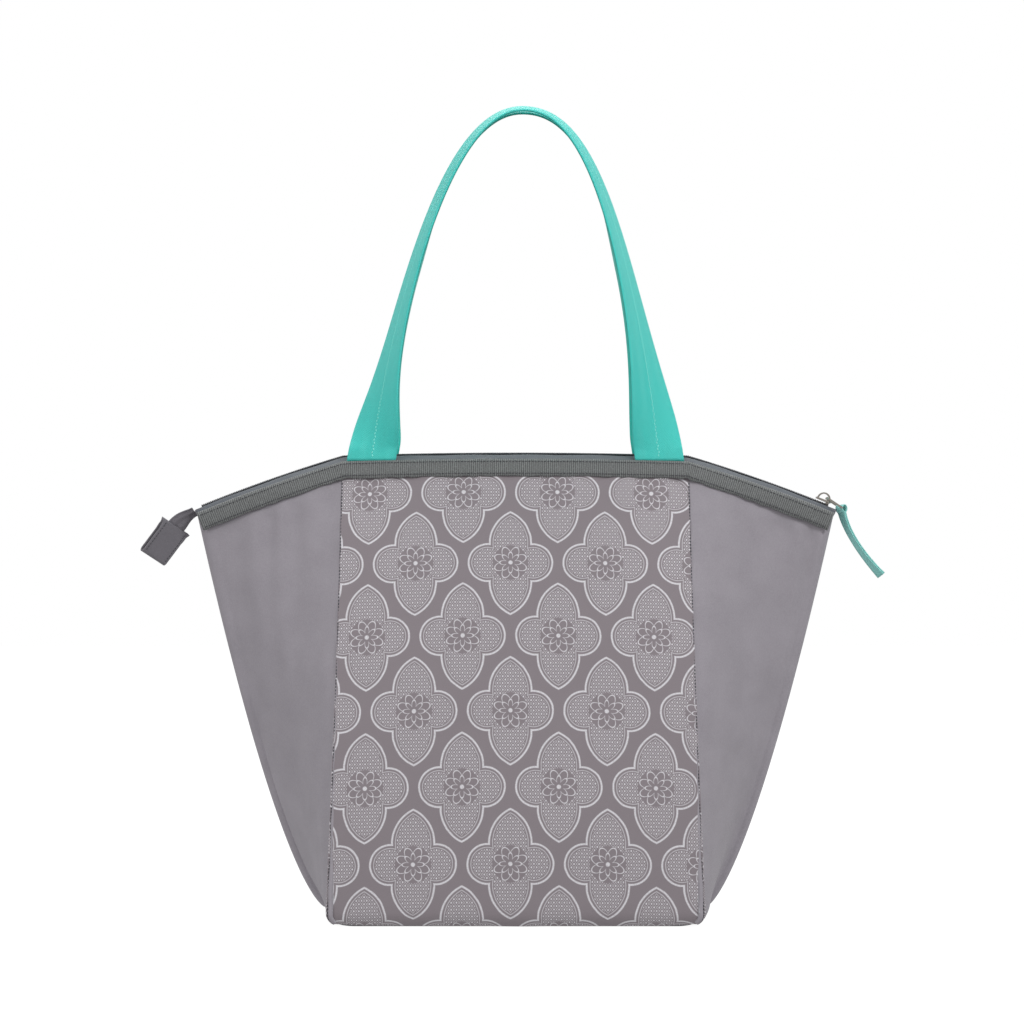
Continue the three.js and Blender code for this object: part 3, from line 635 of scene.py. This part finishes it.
def make_binding(end, sy):
    wing = np.linspace(SEAM_TOP, CREASE_TOP - 1, 70)
    x = np.concatenate([-wing[::-1], np.linspace(-SEAM_TOP, SEAM_TOP, 150)[1:-1], wing])
    point, down, out, _, _ = edge_frame(x)
    travel = np.insert(np.cumsum(np.linalg.norm(np.diff(point, axis=0), axis=1)), 0, 0)
    seam_gap = np.abs(np.abs(x) - SEAM_TOP + 1.5)
    tuck = -0.9 * np.exp(-((seam_gap / 1.6) ** 2)) + 0.5 * np.exp(-(((seam_gap - 3.2) / 1.7) ** 2))
    wave = 0.35 * np.sin(travel / 9.5 + 1.5 * np.sin(travel / 31)) + tuck
    ragged = 0.35 * np.sin(travel / 2.9 + 2.1 * np.sin(travel / 8.3))
    # Pairs of how far out and how far down: up the outside, over the edge, and back down underneath.
    section = [
        (0.2, 12.6), (1.15, 12.3), (1.5, 9), (1.6, 5), (1.35, 1.2), (0.75, -0.6), (-0.8, -1.3), (-2.4, -0.9),
        (-3.0, 0.4), (-2.3, 0.5), (-1.0, -0.2), (-0.2, 0.4), (0.2, 2), (0.35, 6), (0.3, 11),
    ]
    rings = []
    for depth, fall in section:
        bulge = wave * (1 if depth > 0.5 else 0.3) * math.sin(math.pi * min(max(fall, 1), 12) / 13)
        drop = fall + 0.25 * wave + (ragged if fall > 10 else 0)
        rings.append(point + out * (depth + bulge * 0.8)[:, None] + down * drop[:, None])
    rings = np.stack(rings, 1)
    spread = np.array([fall for _, fall in section])
    uv = np.stack(np.broadcast_arrays(travel[:, None], spread[None, :]), -1)
    return facing_out(tube(f"{end}_binding", flipped(rings, 1, sy), uv, BAND))


def add_halves(obj, nodes=(), cut=None):
    """Cuts a piece of the whole top edge in the middle, into one half for each side."""
    for side, sx in ENDS:
        half = obj.copy()
        half.data = obj.data.copy()
        half.name = f"{obj.name}_{side}"
        bpy.context.scene.collection.objects.link(half)
        bm = bmesh.new()
        bm.from_mesh(half.data)
        whole = bm.verts[:] + bm.edges[:] + bm.faces[:]
        bmesh.ops.bisect_plane(bm, geom=whole, plane_co=(0, 0, 0), plane_no=(-sx, 0, 0), clear_outer=True)
        bm.to_mesh(half.data)
        bm.free()
        bend(half)
        if nodes:
            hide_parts(*nodes)
        if cut:
            width, held = cut
            declare_sheet(width, EDGE_LENGTH / 2)
    bpy.data.objects.remove(obj)


def tape_grid(x):
    """Rows of points across a zip tape, from the coil over the edge and down behind the outer cloth."""
    point, down, out, up, _ = edge_frame(x)
    # Two rows stand beside the coil, and the next three spread out to the cloth.
    outer_y = -point[:, 1] - 2.2
    reaches = [np.full_like(x, 3.3), np.full_like(x, COIL_SIDE)]
    reaches += [COIL_SIDE + (outer_y - COIL_SIDE) * share for share in (0.3, 0.62, 1)]
    rises = [ZIP_RISE - 0.3, ZIP_RISE - 0.6, 2.7, 1.5, 0.5]
    rows = []
    for k, (reach, rise) in enumerate(zip(reaches, rises)):
        wave = 0.15 * np.sin(x / 7 + k)
        rows.append(np.stack([point[:, 0], -reach, point[:, 2]], -1) + up * (rise + wave)[:, None])
    for fall in (2.0, 7.0, 11.5):
        rows.append(point - out * TAPE_DEPTH + down * fall)
    return np.stack(rows, 1)


def make_tape(end, sy):
    x = np.linspace(-CREASE_TOP + 0.5, CREASE_TOP - 0.5, 260)
    grid = tape_grid(x)
    n = normals(grid)
    n *= np.where((n[..., 2:] + n[..., 1:2] * -0.2) < 0, -1, 1)
    under = grid - n * TAPE_THICK
    travel = x[:, None] + np.zeros(grid.shape[:2])
    uv = np.stack([travel, lengths(grid, 1)], -1)
    return facing_out(sheet(f"{end}_tape", flipped(grid, 1, sy), flipped(under, 1, sy), uv, TAPE))


def capsule_template(sides=6, stations=5):
    """A unit capsule along z from -1 to 1, radius 1 at the middle."""
    rings = []
    for t in np.linspace(-1, 1, stations):
        r = math.sqrt(max(0.02, 1 - abs(t) ** 3.2))
        angles = [TURN * i / sides for i in range(sides)]
        rings.append([(r * math.cos(a), r * math.sin(a), t) for a in angles])
    points = np.array(rings).reshape(-1, 3)
    return points, tube_faces(stations, sides)


def capsules(name, centres, ways, sides_on, material, half_length, radius, flat=1.0):
    """Many small capsules as one mesh. ways are their directions, sides_on their flat sides' normals."""
    template, faces = capsule_template()
    ways = unit(np.asarray(ways, float))
    third = unit(np.cross(ways, sides_on))
    upright = unit(np.cross(third, ways))
    count, size = len(centres), len(template)
    points = (
        np.asarray(centres)[:, None, :]
        + third[:, None, :] * template[None, :, 0:1] * radius
        + upright[:, None, :] * template[None, :, 1:2] * radius * flat
        + ways[:, None, :] * template[None, :, 2:3] * half_length
    )
    every = [tuple(i + k * size for i in face) for k in range(count) for face in faces]
    flat_points = points.reshape(-1, 3)
    return facing_out(make(name, flat_points, every, flat_points[:, :2], [material]))


def make_coil(end, sy):
    """A row of turns, half a pitch out of step with the other side's."""
    x = np.arange(-ZIP_END, ZIP_END, COIL_PITCH) + (COIL_PITCH / 2 if sy < 0 else 0)
    point, _, _, up, _ = edge_frame(x)
    centre = np.stack([point[:, 0], np.full_like(x, -COIL_OFF), point[:, 2]], -1) + up * (ZIP_RISE + 0.1)
    ways = np.tile([0.12, 1.0, 0.0], (len(x), 1))
    return capsules(f"{end}_coil", flipped(centre, 1, sy), flipped(ways, 1, sy), up, COIL, **COIL_TURN)


def make_stitches(end, sy, name, fall, lift):
    """A row of stitches along the binding."""
    x = np.arange(-CREASE_TOP + 4, CREASE_TOP - 3, STITCH)
    point, down, out, _, along = edge_frame(x)
    places = (flipped(part, 1, sy) for part in (point + out * lift + down * fall, along, out))
    return capsules(f"{end}_{name}", *places, THREAD, **FINE_STITCH)


def add_seam_shadow_stitches(end, sy, side, sx):
    """Dark stitches in the valley between a panel and its wing; their dark thread also paints the seam's
    shadow.
    """
    z = np.arange(6, TOP_Z - BAND_HEIGHT - 2, STITCH)
    line = hem(np.stack([seam_x(z), -half_depth(z), z], -1))
    v = z / TOP_Z
    along = unit(np.stack([crease_x(v * CREASE_TOP_Z) - seam_x(z), half_depth(z) - fold_half(v)], -1))
    panel_out = np.array([0.0, -1.0, 0.0])
    wing_out = np.stack([along[:, 1], -along[:, 0], 0 * z], -1)
    outward = unit(panel_out + wing_out)
    depth = SEAM_DEPTH / (outward @ panel_out)
    ways = unit(np.gradient(line, axis=0))
    places = (flipped(part, sx, sy) for part in (line - outward * depth[:, None], ways, outward))
    row = capsules(f"{end}_{side}_seam", *places, THREAD, **SEAM_STITCH)
    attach(row, f"{end}_shell")


for end, sy in SIDES:
    add_panel(end, sy)
    for side, sx in ENDS:
        add_wing(end, sy, side, sx)
        add_seam_shadow_stitches(end, sy, side, sx)


for end, sy in SIDES:
    bands = [f"{end}_{place}_band" for place in ("centre", "left", "right")]
    add_halves(make_binding(end, sy), bands, BINDING_CUT)
    add_halves(make_tape(end, sy), [f"{end}_zip_tape"], TAPE_CUT)
    add_halves(make_coil(end, sy), [f"{end}_zip_coil"])
    add_halves(make_stitches(end, sy, "stitch_low", fall=10.8, lift=1.7))
    add_halves(make_stitches(end, sy, "stitch_high", fall=1.6, lift=1.75))


# ---- Base ----
def base_outline(x, middle, y, corner, steps=8):
    """A rectangle with round corners and a point at the middle of each end, anticlockwise."""
    points = []
    for sx, sy in ((1, -1), (1, 1), (-1, 1), (-1, -1)):
        arc = []
        for k in range(steps + 1):
            a = math.pi / 2 * k / steps
            arc.append((sx * (x - corner * (1 - math.sin(a))), sy * (y - corner * (1 - math.cos(a)))))
        points += arc if sx * sy < 0 else arc[::-1]
        if (sx, sy) in ((1, -1), (-1, 1)):
            points.append((sx * middle, 0.0))
    return np.array(points)


def base_slab(name, levels, material, slot, *nodes):
    """levels are (height, inset) pairs, bottom to top."""
    rings = []
    for z, inset in levels:
        outline = base_outline(*(size - inset for size in BASE_HALVES), BASE_CORNER)
        rings.append(np.column_stack([outline, np.full(len(outline), z)]))
    rings = np.stack(rings)
    slab = facing_out(tube(name, rings, rings[..., :2], material))
    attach(slab, "base")
    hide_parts(*nodes)


def base_lining():
    half_x, half_y = BASE_LINING
    x, y = np.meshgrid(np.linspace(-half_x, half_x, 60), np.linspace(-half_y, half_y, 40))
    points = np.stack([x, y, np.full_like(x, BASE_TOP)], -1)
    points[..., 2] += 0.35 * ripple(points, 25, 4.4)
    lining = sheet("base_lining", points, points - [0, 0, 0.5], points[..., :2], LINER)
    declare_sheet(2 * half_y, 2 * half_x)
    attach(lining, "base")
    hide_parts("base_liner")


BASE_LEVELS = [(0, 2.5), (0.5, 1.0), (1.8, 0.1), (6, 0.2), (8.8, 2.5)]
base_slab("base_skin", BASE_LEVELS, BASE, "base_fabric", "base_panel", "base_board", "base_foam")
base_lining()


# ---- Handles ----
def bezier(p0, p1, p2, p3, t):
    t = np.asarray(t)[:, None]
    a, b, c, d = (np.asarray(p, float) for p in (p0, p1, p2, p3))
    return (1 - t) ** 3 * a + 3 * (1 - t) ** 2 * t * b + 3 * (1 - t) * t**2 * c + t**3 * d


FOOT = TOP_Z + 1.4  # where the free straps start
# The straps stay flat for SEWN_FLAT above their sewn ends, lean in with the arch over UPRIGHT after that, and
# turn edge-on over about TWIST. LEAN, in degrees, is how far from edge-on each one stays.
TWIST_LEFT, TWIST_RIGHT, SEWN_FLAT, UPRIGHT = 38.0, 57.0, 9.0, 25.0
LEAN_LEFT, LEAN_RIGHT, LEAN_BACK, LEAN_TOP = 15.0, 12.0, -1.0, 14.0
BACK_LIFT, STRAP_APART = 5.0, 1.0


def handle_path(sy, count=260):
    """Middle line, direction across and outer face's normal of a handle."""
    t = np.linspace(0, 1, 800)
    top_z = HANDLE_TOP[1]
    left = bezier((-STRAP_X, FOOT), (-64, 560), (-15, top_z), HANDLE_TOP, t)
    right = bezier(HANDLE_TOP, (40, top_z), (73, 540), (STRAP_X, FOOT), t)
    line = np.concatenate([left, right[1:]])
    run = lengths(line, 0)
    total = run[-1]
    s = np.linspace(0, total, count)
    flat = np.stack([np.interp(s, run, line[:, k]) for k in (0, 1)], -1)
    heading = unit(np.gradient(flat, axis=0))
    from_end = np.minimum(s, total - s)
    top = smooth(from_end, total * 0.25, total * 0.5)
    rate = TWIST_LEFT + (TWIST_RIGHT - TWIST_LEFT) * smooth(s, total * 0.3, total * 0.7)
    lean = LEAN_LEFT + (LEAN_RIGHT - LEAN_LEFT) * s / total if sy > 0 else LEAN_BACK - LEAN_TOP * top
    twist = np.radians(90 - lean) * (1 - np.exp(-np.maximum(0, from_end - SEWN_FLAT) / rate))
    outward = np.stack([-heading[:, 1], 0 * s, heading[:, 0]], -1)
    upright = 1 - smooth(from_end, SEWN_FLAT, SEWN_FLAT + UPRIGHT)
    tangent = unit(np.stack([heading[:, 0] * (1 - upright), 0 * s, heading[:, 1]], -1))
    foot = TOP_DEPTH - STRAP_SUNK
    away = foot + (STRAP_WIDTH / 2 + STRAP_APART - foot) * np.sin(twist) ** 2
    lift = BACK_LIFT * top * (sy < 0)
    middle = np.stack([flat[:, 0], -sy * away, flat[:, 1]], -1) + outward * lift[:, None]
    face = np.array([0.0, -sy, 0.0])
    normal = unit(face * np.cos(twist)[:, None] + outward * np.sin(twist)[:, None])
    across = unit(np.cross(tangent, normal))
    return s, middle, across, normal, tangent


def strap_rings(middle, across, normal, thick, cup=0.0):
    """Rings along a strap with soft edges, and how far across each of a ring's points lies."""
    half, t = (STRAP_WIDTH - 0.6) / 2, thick / 2
    quarter = [(-half, 0), (-half * 0.985, t * 0.7), (-half * 0.93, t), (-half * 0.5, t + cup)]
    upper = quarter + [(0, t + 1.3 * cup)] + [(-a, b) for a, b in quarter[::-1]]
    lower = [(a, b - 2 * t if abs(b) > t * 0.9 else -b) for a, b in upper[1:-1]][::-1]
    outline = upper + lower
    rings = np.stack([middle + across * a + normal * b for a, b in outline], 1)
    # The inner face's points get an offset on their u, so that the webbing paints that face in shade.
    return rings, np.array([a for a, _ in upper] + [a + SHADED_INNER_FACE for a, _ in lower])


def add_handle(end, sy):
    s, middle, across, normal, tangent = handle_path(sy)
    rings, widths = strap_rings(middle, across, normal, STRAP_THICK - 0.3, cup=0.15)
    uv = np.stack(np.broadcast_arrays(widths[None, :], s[:, None]), -1)
    strap = facing_out(tube(f"{end}_strap", rings, uv, TEAL))
    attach(strap, f"{end}_carry_handle")
    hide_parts(f"{end}_handle")
    declare_sheet(STRAP_WIDTH, s[-1])
    # A zigzag of stitches runs down the middle of both faces.
    count = int(s[-1] / STITCH)
    at = np.linspace(4, s[-1] - 4, count)
    curves = (middle, tangent, across, normal)
    spot, way, side, up = (np.stack([np.interp(at, s, a[:, k]) for k in range(3)], -1) for a in curves)
    swerve = unit(side) * np.where(np.arange(count) % 2 == 0, 0.3, -0.3)[:, None]
    for face, sign in (("outer", 1), ("inner", -1)):
        centre = spot + unit(up) * sign * (STRAP_THICK / 2 + 0.05) + swerve
        name = f"{end}_strap_stitch_{face}"
        row = capsules(name, centre, unit(way) - swerve, up, THREAD_TEAL, **STRAP_STITCH)
        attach(row, f"{end}_carry_handle")


def add_strap_root(end, sy, side, sx, stations=8):
    """A strap's sewn-in end, behind the band."""
    z = np.linspace(TOP_Z - 8, TOP_Z + 1.8, stations)
    middle = np.stack([np.full_like(z, sx * STRAP_X), -sy * (half_depth(z) - STRAP_SUNK), z], -1)
    across = np.tile([1.0, 0, 0], (stations, 1))
    normal = np.tile(unit(np.array([0, -1.0 * sy, 0.36])), (stations, 1))
    rings, widths = strap_rings(middle, across, normal, STRAP_THICK - 0.3)
    uv = np.stack(np.broadcast_arrays(widths[None, :], z[:, None]), -1)
    root = facing_out(tube(f"{end}_{side}_strap_root", rings, uv, TEAL))
    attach(root, f"{end}_shell")
    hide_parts(f"{end}_{side}_strap_end")
    declare_sheet(STRAP_WIDTH, ROOT_LENGTH)


for end, sy in SIDES:
    add_handle(end, sy)
    for side, sx in ENDS:
        add_strap_root(end, sy, side, sx)


# ---- Zip slider, ring and end stops: the CAD pieces, with softened edges ----
def finish_cad_piece(name, material, width, segments):
    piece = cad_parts[name]
    piece.data.materials.clear()
    piece.data.materials.append(material)
    soften = piece.modifiers.new("soften", "BEVEL")
    soften.width, soften.segments = width * MM, segments


finish_cad_piece("zip_slider", NICKEL, 0.45, 3)
finish_cad_piece("pull_ring", NICKEL, 0.42, 3)
finish_cad_piece("left_zip_stop", TAB, 1.6, 4)
finish_cad_piece("right_zip_stop", TAB, 1.6, 4)


# ---- Ribbon pull ----
def ribbon():
    slope = math.atan(-wing_slope(SLIDER_X))
    along = np.array([math.cos(slope), 0, -math.sin(slope)])
    up = np.array([math.sin(slope), 0, math.cos(slope)])
    rest = np.array([SLIDER_X, 0, float(top_edge(SLIDER_X))]) + up * ZIP_RISE
    dip = slope + RING_DIP
    bar = rest + along * EYE_X + up * EYE_Z + RING_REACH * np.array([math.cos(dip), 0, -math.sin(dip)])
    t = np.linspace(0, 1, 60)
    path = bezier(bar, bar + [1.5, 0, -14], bar + [13.5, -1, -32.7], bar + [28.7, -2, -48.9], t)
    tangent = unit(np.gradient(path, axis=0))
    side = np.array([0.0, 1.0, 0.0])
    turn = np.radians(-38 + 16 * np.sin(math.pi * t))
    across = side * np.cos(turn)[:, None] + np.cross(tangent, side) * np.sin(turn)[:, None]
    across = square_to(across, tangent)
    normal = unit(np.cross(tangent, across))
    # The cloth runs up one side of the path, over the ring's bar, and down the other side.
    loop = 1.75 * np.sqrt(np.clip(1 - (t / RIBBON_LOOP) ** 2, 0, 1)) + 0.55 + 0.25 * smooth(t, 0.9, 1)
    apart = normal * np.maximum(loop, 0.6)[:, None]
    nose = [(-math.sin(a) * 2.2, math.cos(a) * 2.2) for a in np.linspace(0, math.pi, 12)]
    over = np.array([bar + tangent[0] * a + normal[0] * b for a, b in nose])
    line = np.concatenate([(path + apart)[:0:-1], over, (path - apart)[1:]])
    cross = np.concatenate([across[:0:-1], np.repeat(across[:1], len(over), 0), across[1:]])
    forward = unit(np.gradient(line, axis=0))
    out = unit(np.cross(forward, cross))
    section = [(-1, 0.35), (-0.5, 0.42), (0.5, 0.42), (1, 0.35)]
    section += [(1, -0.35), (0.5, -0.3), (-0.5, -0.3), (-1, -0.35)]
    rings = np.stack([line + cross * RIBBON_WIDTH / 2 * a + out * b for a, b in section], 1)
    spread = np.array([5.0 * a for a, _ in section])
    uv = np.stack(np.broadcast_arrays(spread[None, :], lengths(line, 0)[:, None]), -1)
    pull = facing_out(tube("ribbon", rings, uv, RIBBON))
    (path * MM).tolist()
    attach(pull, "ribbon")
    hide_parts("ribbon_pull")


ribbon()


# ---- Zip tail and tab ----
# The tab: the middle of its mouth, the way it hangs, and the way across it.
TAB_TOP, TAB_DOWN = np.array([-246.3, -2, 276.8]), np.array([-0.6, 0, -0.8])
TAB_ACROSS = square_to(unit(np.array([0.74, 0.5, -0.45])), TAB_DOWN)
TAB_FACE = np.cross(TAB_ACROSS, TAB_DOWN)
TAB_WIDTH, TAB_LENGTH, TAB_HALF_GAP, TAB_BEND = 22.0, 28.5, 2.5, 2.5
TAIL_WIDTH = 14.0


def add_tail():
    x0 = -CREASE_TOP - 1.6
    slope = wing_slope(x0)
    rise = 3 / math.hypot(1, slope)
    start = np.array([x0 - slope * rise, 0, float(top_edge(x0)) + rise])
    t = np.linspace(0, 1, 40)
    root, bow = start + [0.8, 0, 0.3], start + [-6, 0, -3.5]
    path = bezier(root, bow, TAB_TOP - TAB_DOWN * 5, TAB_TOP + TAB_DOWN * 9, t)
    tangent = unit(np.gradient(path, axis=0))
    ease = smooth(t, 0, 0.75)[:, None]
    across = unit(np.array([0.35, 0.75, -0.55])) * (1 - ease) + TAB_ACROSS * ease
    across = square_to(across, tangent)
    normal = unit(np.cross(across, tangent))
    half = 5 + (TAIL_WIDTH / 2 - 5) * ease
    spans = np.linspace(-1, 1, 17)
    wrinkle = 0.55 * np.sin(spans[None, :] * 7 + 2 * t[:, None]) * (1 - t[:, None]) ** 0.5
    grid = path[:, None] + across[:, None] * (half * spans)[..., None]
    grid += normal[:, None] * (wrinkle + 0.5)[..., None]
    uv = np.stack(np.broadcast_arrays(half * spans, (t * 40)[:, None]), -1)
    cloth = facing_out(sheet("tail_cloth", grid, grid - normal[:, None], uv, TAB))
    declare_sheet(TAIL_WIDTH, lengths(grid, 0).max())
    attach(cloth, "tail")
    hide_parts("zip_tail")


def add_tab():
    """The tab is folded over the tail's end, with its long side across."""
    straight, bend_at = np.linspace(0, TAB_LENGTH - TAB_BEND, 22), TAB_LENGTH - TAB_BEND
    gap = TAB_HALF_GAP
    outline = [(gap, s) for s in straight]
    outline += [(gap * math.cos(k), bend_at + gap * math.sin(k)) for k in np.linspace(0, math.pi, 14)[1:-1]]
    outline += [(-gap, s) for s in straight[::-1]]
    depth, fall = np.array(outline).T
    spans = np.linspace(-TAB_WIDTH / 2, TAB_WIDTH / 2, 25)
    # The mouth is wider and flatter than the rest, and a little wavy.
    widen = 1 + 0.12 * (1 - smooth(fall, 0, 3.5)) - 0.04 * smooth(fall, 4, 10)
    pinch = np.interp(fall, [0, 6], [0.55, 1.0])
    wave = 0.5 * np.sin(spans / 3.4)[None, :] * (1 - smooth(fall, 0, 16))[:, None]
    grid = (
        TAB_TOP
        + TAB_FACE * ((depth * pinch)[:, None] + wave)[..., None]
        + TAB_DOWN * fall[:, None, None]
        + TAB_ACROSS * (spans[None, :] * widen[:, None])[..., None]
    )
    n = normals(grid)
    travel = lengths(grid, 0)
    uv = np.stack([spans[None, :] + np.zeros(grid.shape[:2]), travel], -1)
    tab = facing_out(sheet("tail_tab_cloth", grid + n * 0.45, grid - n * 0.45, uv, TAB))
    declare_sheet(TAB_WIDTH, travel.max())
    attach(tab, "tail")
    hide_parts("tail_tab")
    from_middle, lift = TAB_WIDTH / 2 - 2.2, 3.1
    centres = [
        TAB_TOP + TAB_DOWN * s + TAB_ACROSS * edge * from_middle - TAB_FACE * lift
        for s in np.arange(2, TAB_LENGTH - 3, STITCH) for edge in (-1, 1)
    ]
    ways, faces = (np.tile(way, (len(centres), 1)) for way in (TAB_DOWN, TAB_FACE))
    row = capsules("tab_stitches", centres, ways, faces, THREAD, **FINE_STITCH)
    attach(row, "tail")


add_tail()
add_tab()

# ---- Light, world and camera ----
bpy.context.scene.view_settings.view_transform = "Standard"
world = bpy.data.worlds.new("studio")
bpy.context.scene.world = world
world.use_nodes = True
backdrop, seen = world.node_tree.nodes["Background"], world.node_tree.nodes.new("ShaderNodeLightPath")
# The bag is lit by a dimmer world than the one the camera sees.
level = world.node_tree.nodes.new("ShaderNodeMapRange")
level.inputs["To Min"].default_value, level.inputs["To Max"].default_value = 0.52, 1.0
world.node_tree.links.new(seen.outputs["Is Camera Ray"], level.inputs["Value"])
world.node_tree.links.new(level.outputs["Result"], backdrop.inputs["Strength"])
backdrop.inputs["Color"].default_value = (1, 1, 1, 1)


def studio_floor(half=3.0, glow=0.95):
    """A pale floor that only the camera sees, so that the bag is lit softly from below too."""
    corners = [(x * half / MM, y * half / MM, -0.3) for x, y in ((-1, -1), (1, -1), (1, 1), (-1, 1))]
    floor = make("floor", corners, [(0, 1, 2, 3)])
    pale = bpy.data.materials.new("floor_pale")
    pale.use_nodes = True
    shader = pale.node_tree.nodes["Principled BSDF"]
    shader.inputs["Base Color"].default_value = (0.15, 0.15, 0.15, 1)
    shader.inputs["Specular IOR Level"].default_value = 0.0
    shader.inputs["Emission Color"].default_value = (1, 1, 1, 1)
    shader.inputs["Emission Strength"].default_value = glow
    floor.data.materials.append(pale)
    floor.visible_diffuse = floor.visible_glossy = floor.visible_transmission = floor.visible_shadow = False


studio_floor()


def area_light(name, place, target, size, power):
    data = bpy.data.lights.new(name, "AREA")
    data.energy, data.size = power, size
    lamp = bpy.data.objects.new(name, data)
    lamp.location = place
    lamp.rotation_euler = (Vector(target) - Vector(place)).to_track_quat("-Z", "Y").to_euler()
    bpy.context.scene.collection.objects.link(lamp)


area_light("key", (1.3, -1.3, 1.5), (0, 0, 0.25), 0.8, 19)
area_light("top", (0, 0.5, 1.7), (0, 0, 0.4), 1.2, 14)
area_light("fill", (-1.5, -1.0, 0.9), (0, 0, 0.25), 0.9, 8)

camera = bpy.data.cameras.new("camera")
camera.lens, camera.sensor_width = 75, 36
eye = bpy.data.objects.new("camera", camera)
eye.location = (-0.0025, -1.55, 0.287)
eye.rotation_euler = (math.pi / 2, 0, 0)
bpy.context.scene.collection.objects.link(eye)
bpy.context.scene.camera = eye
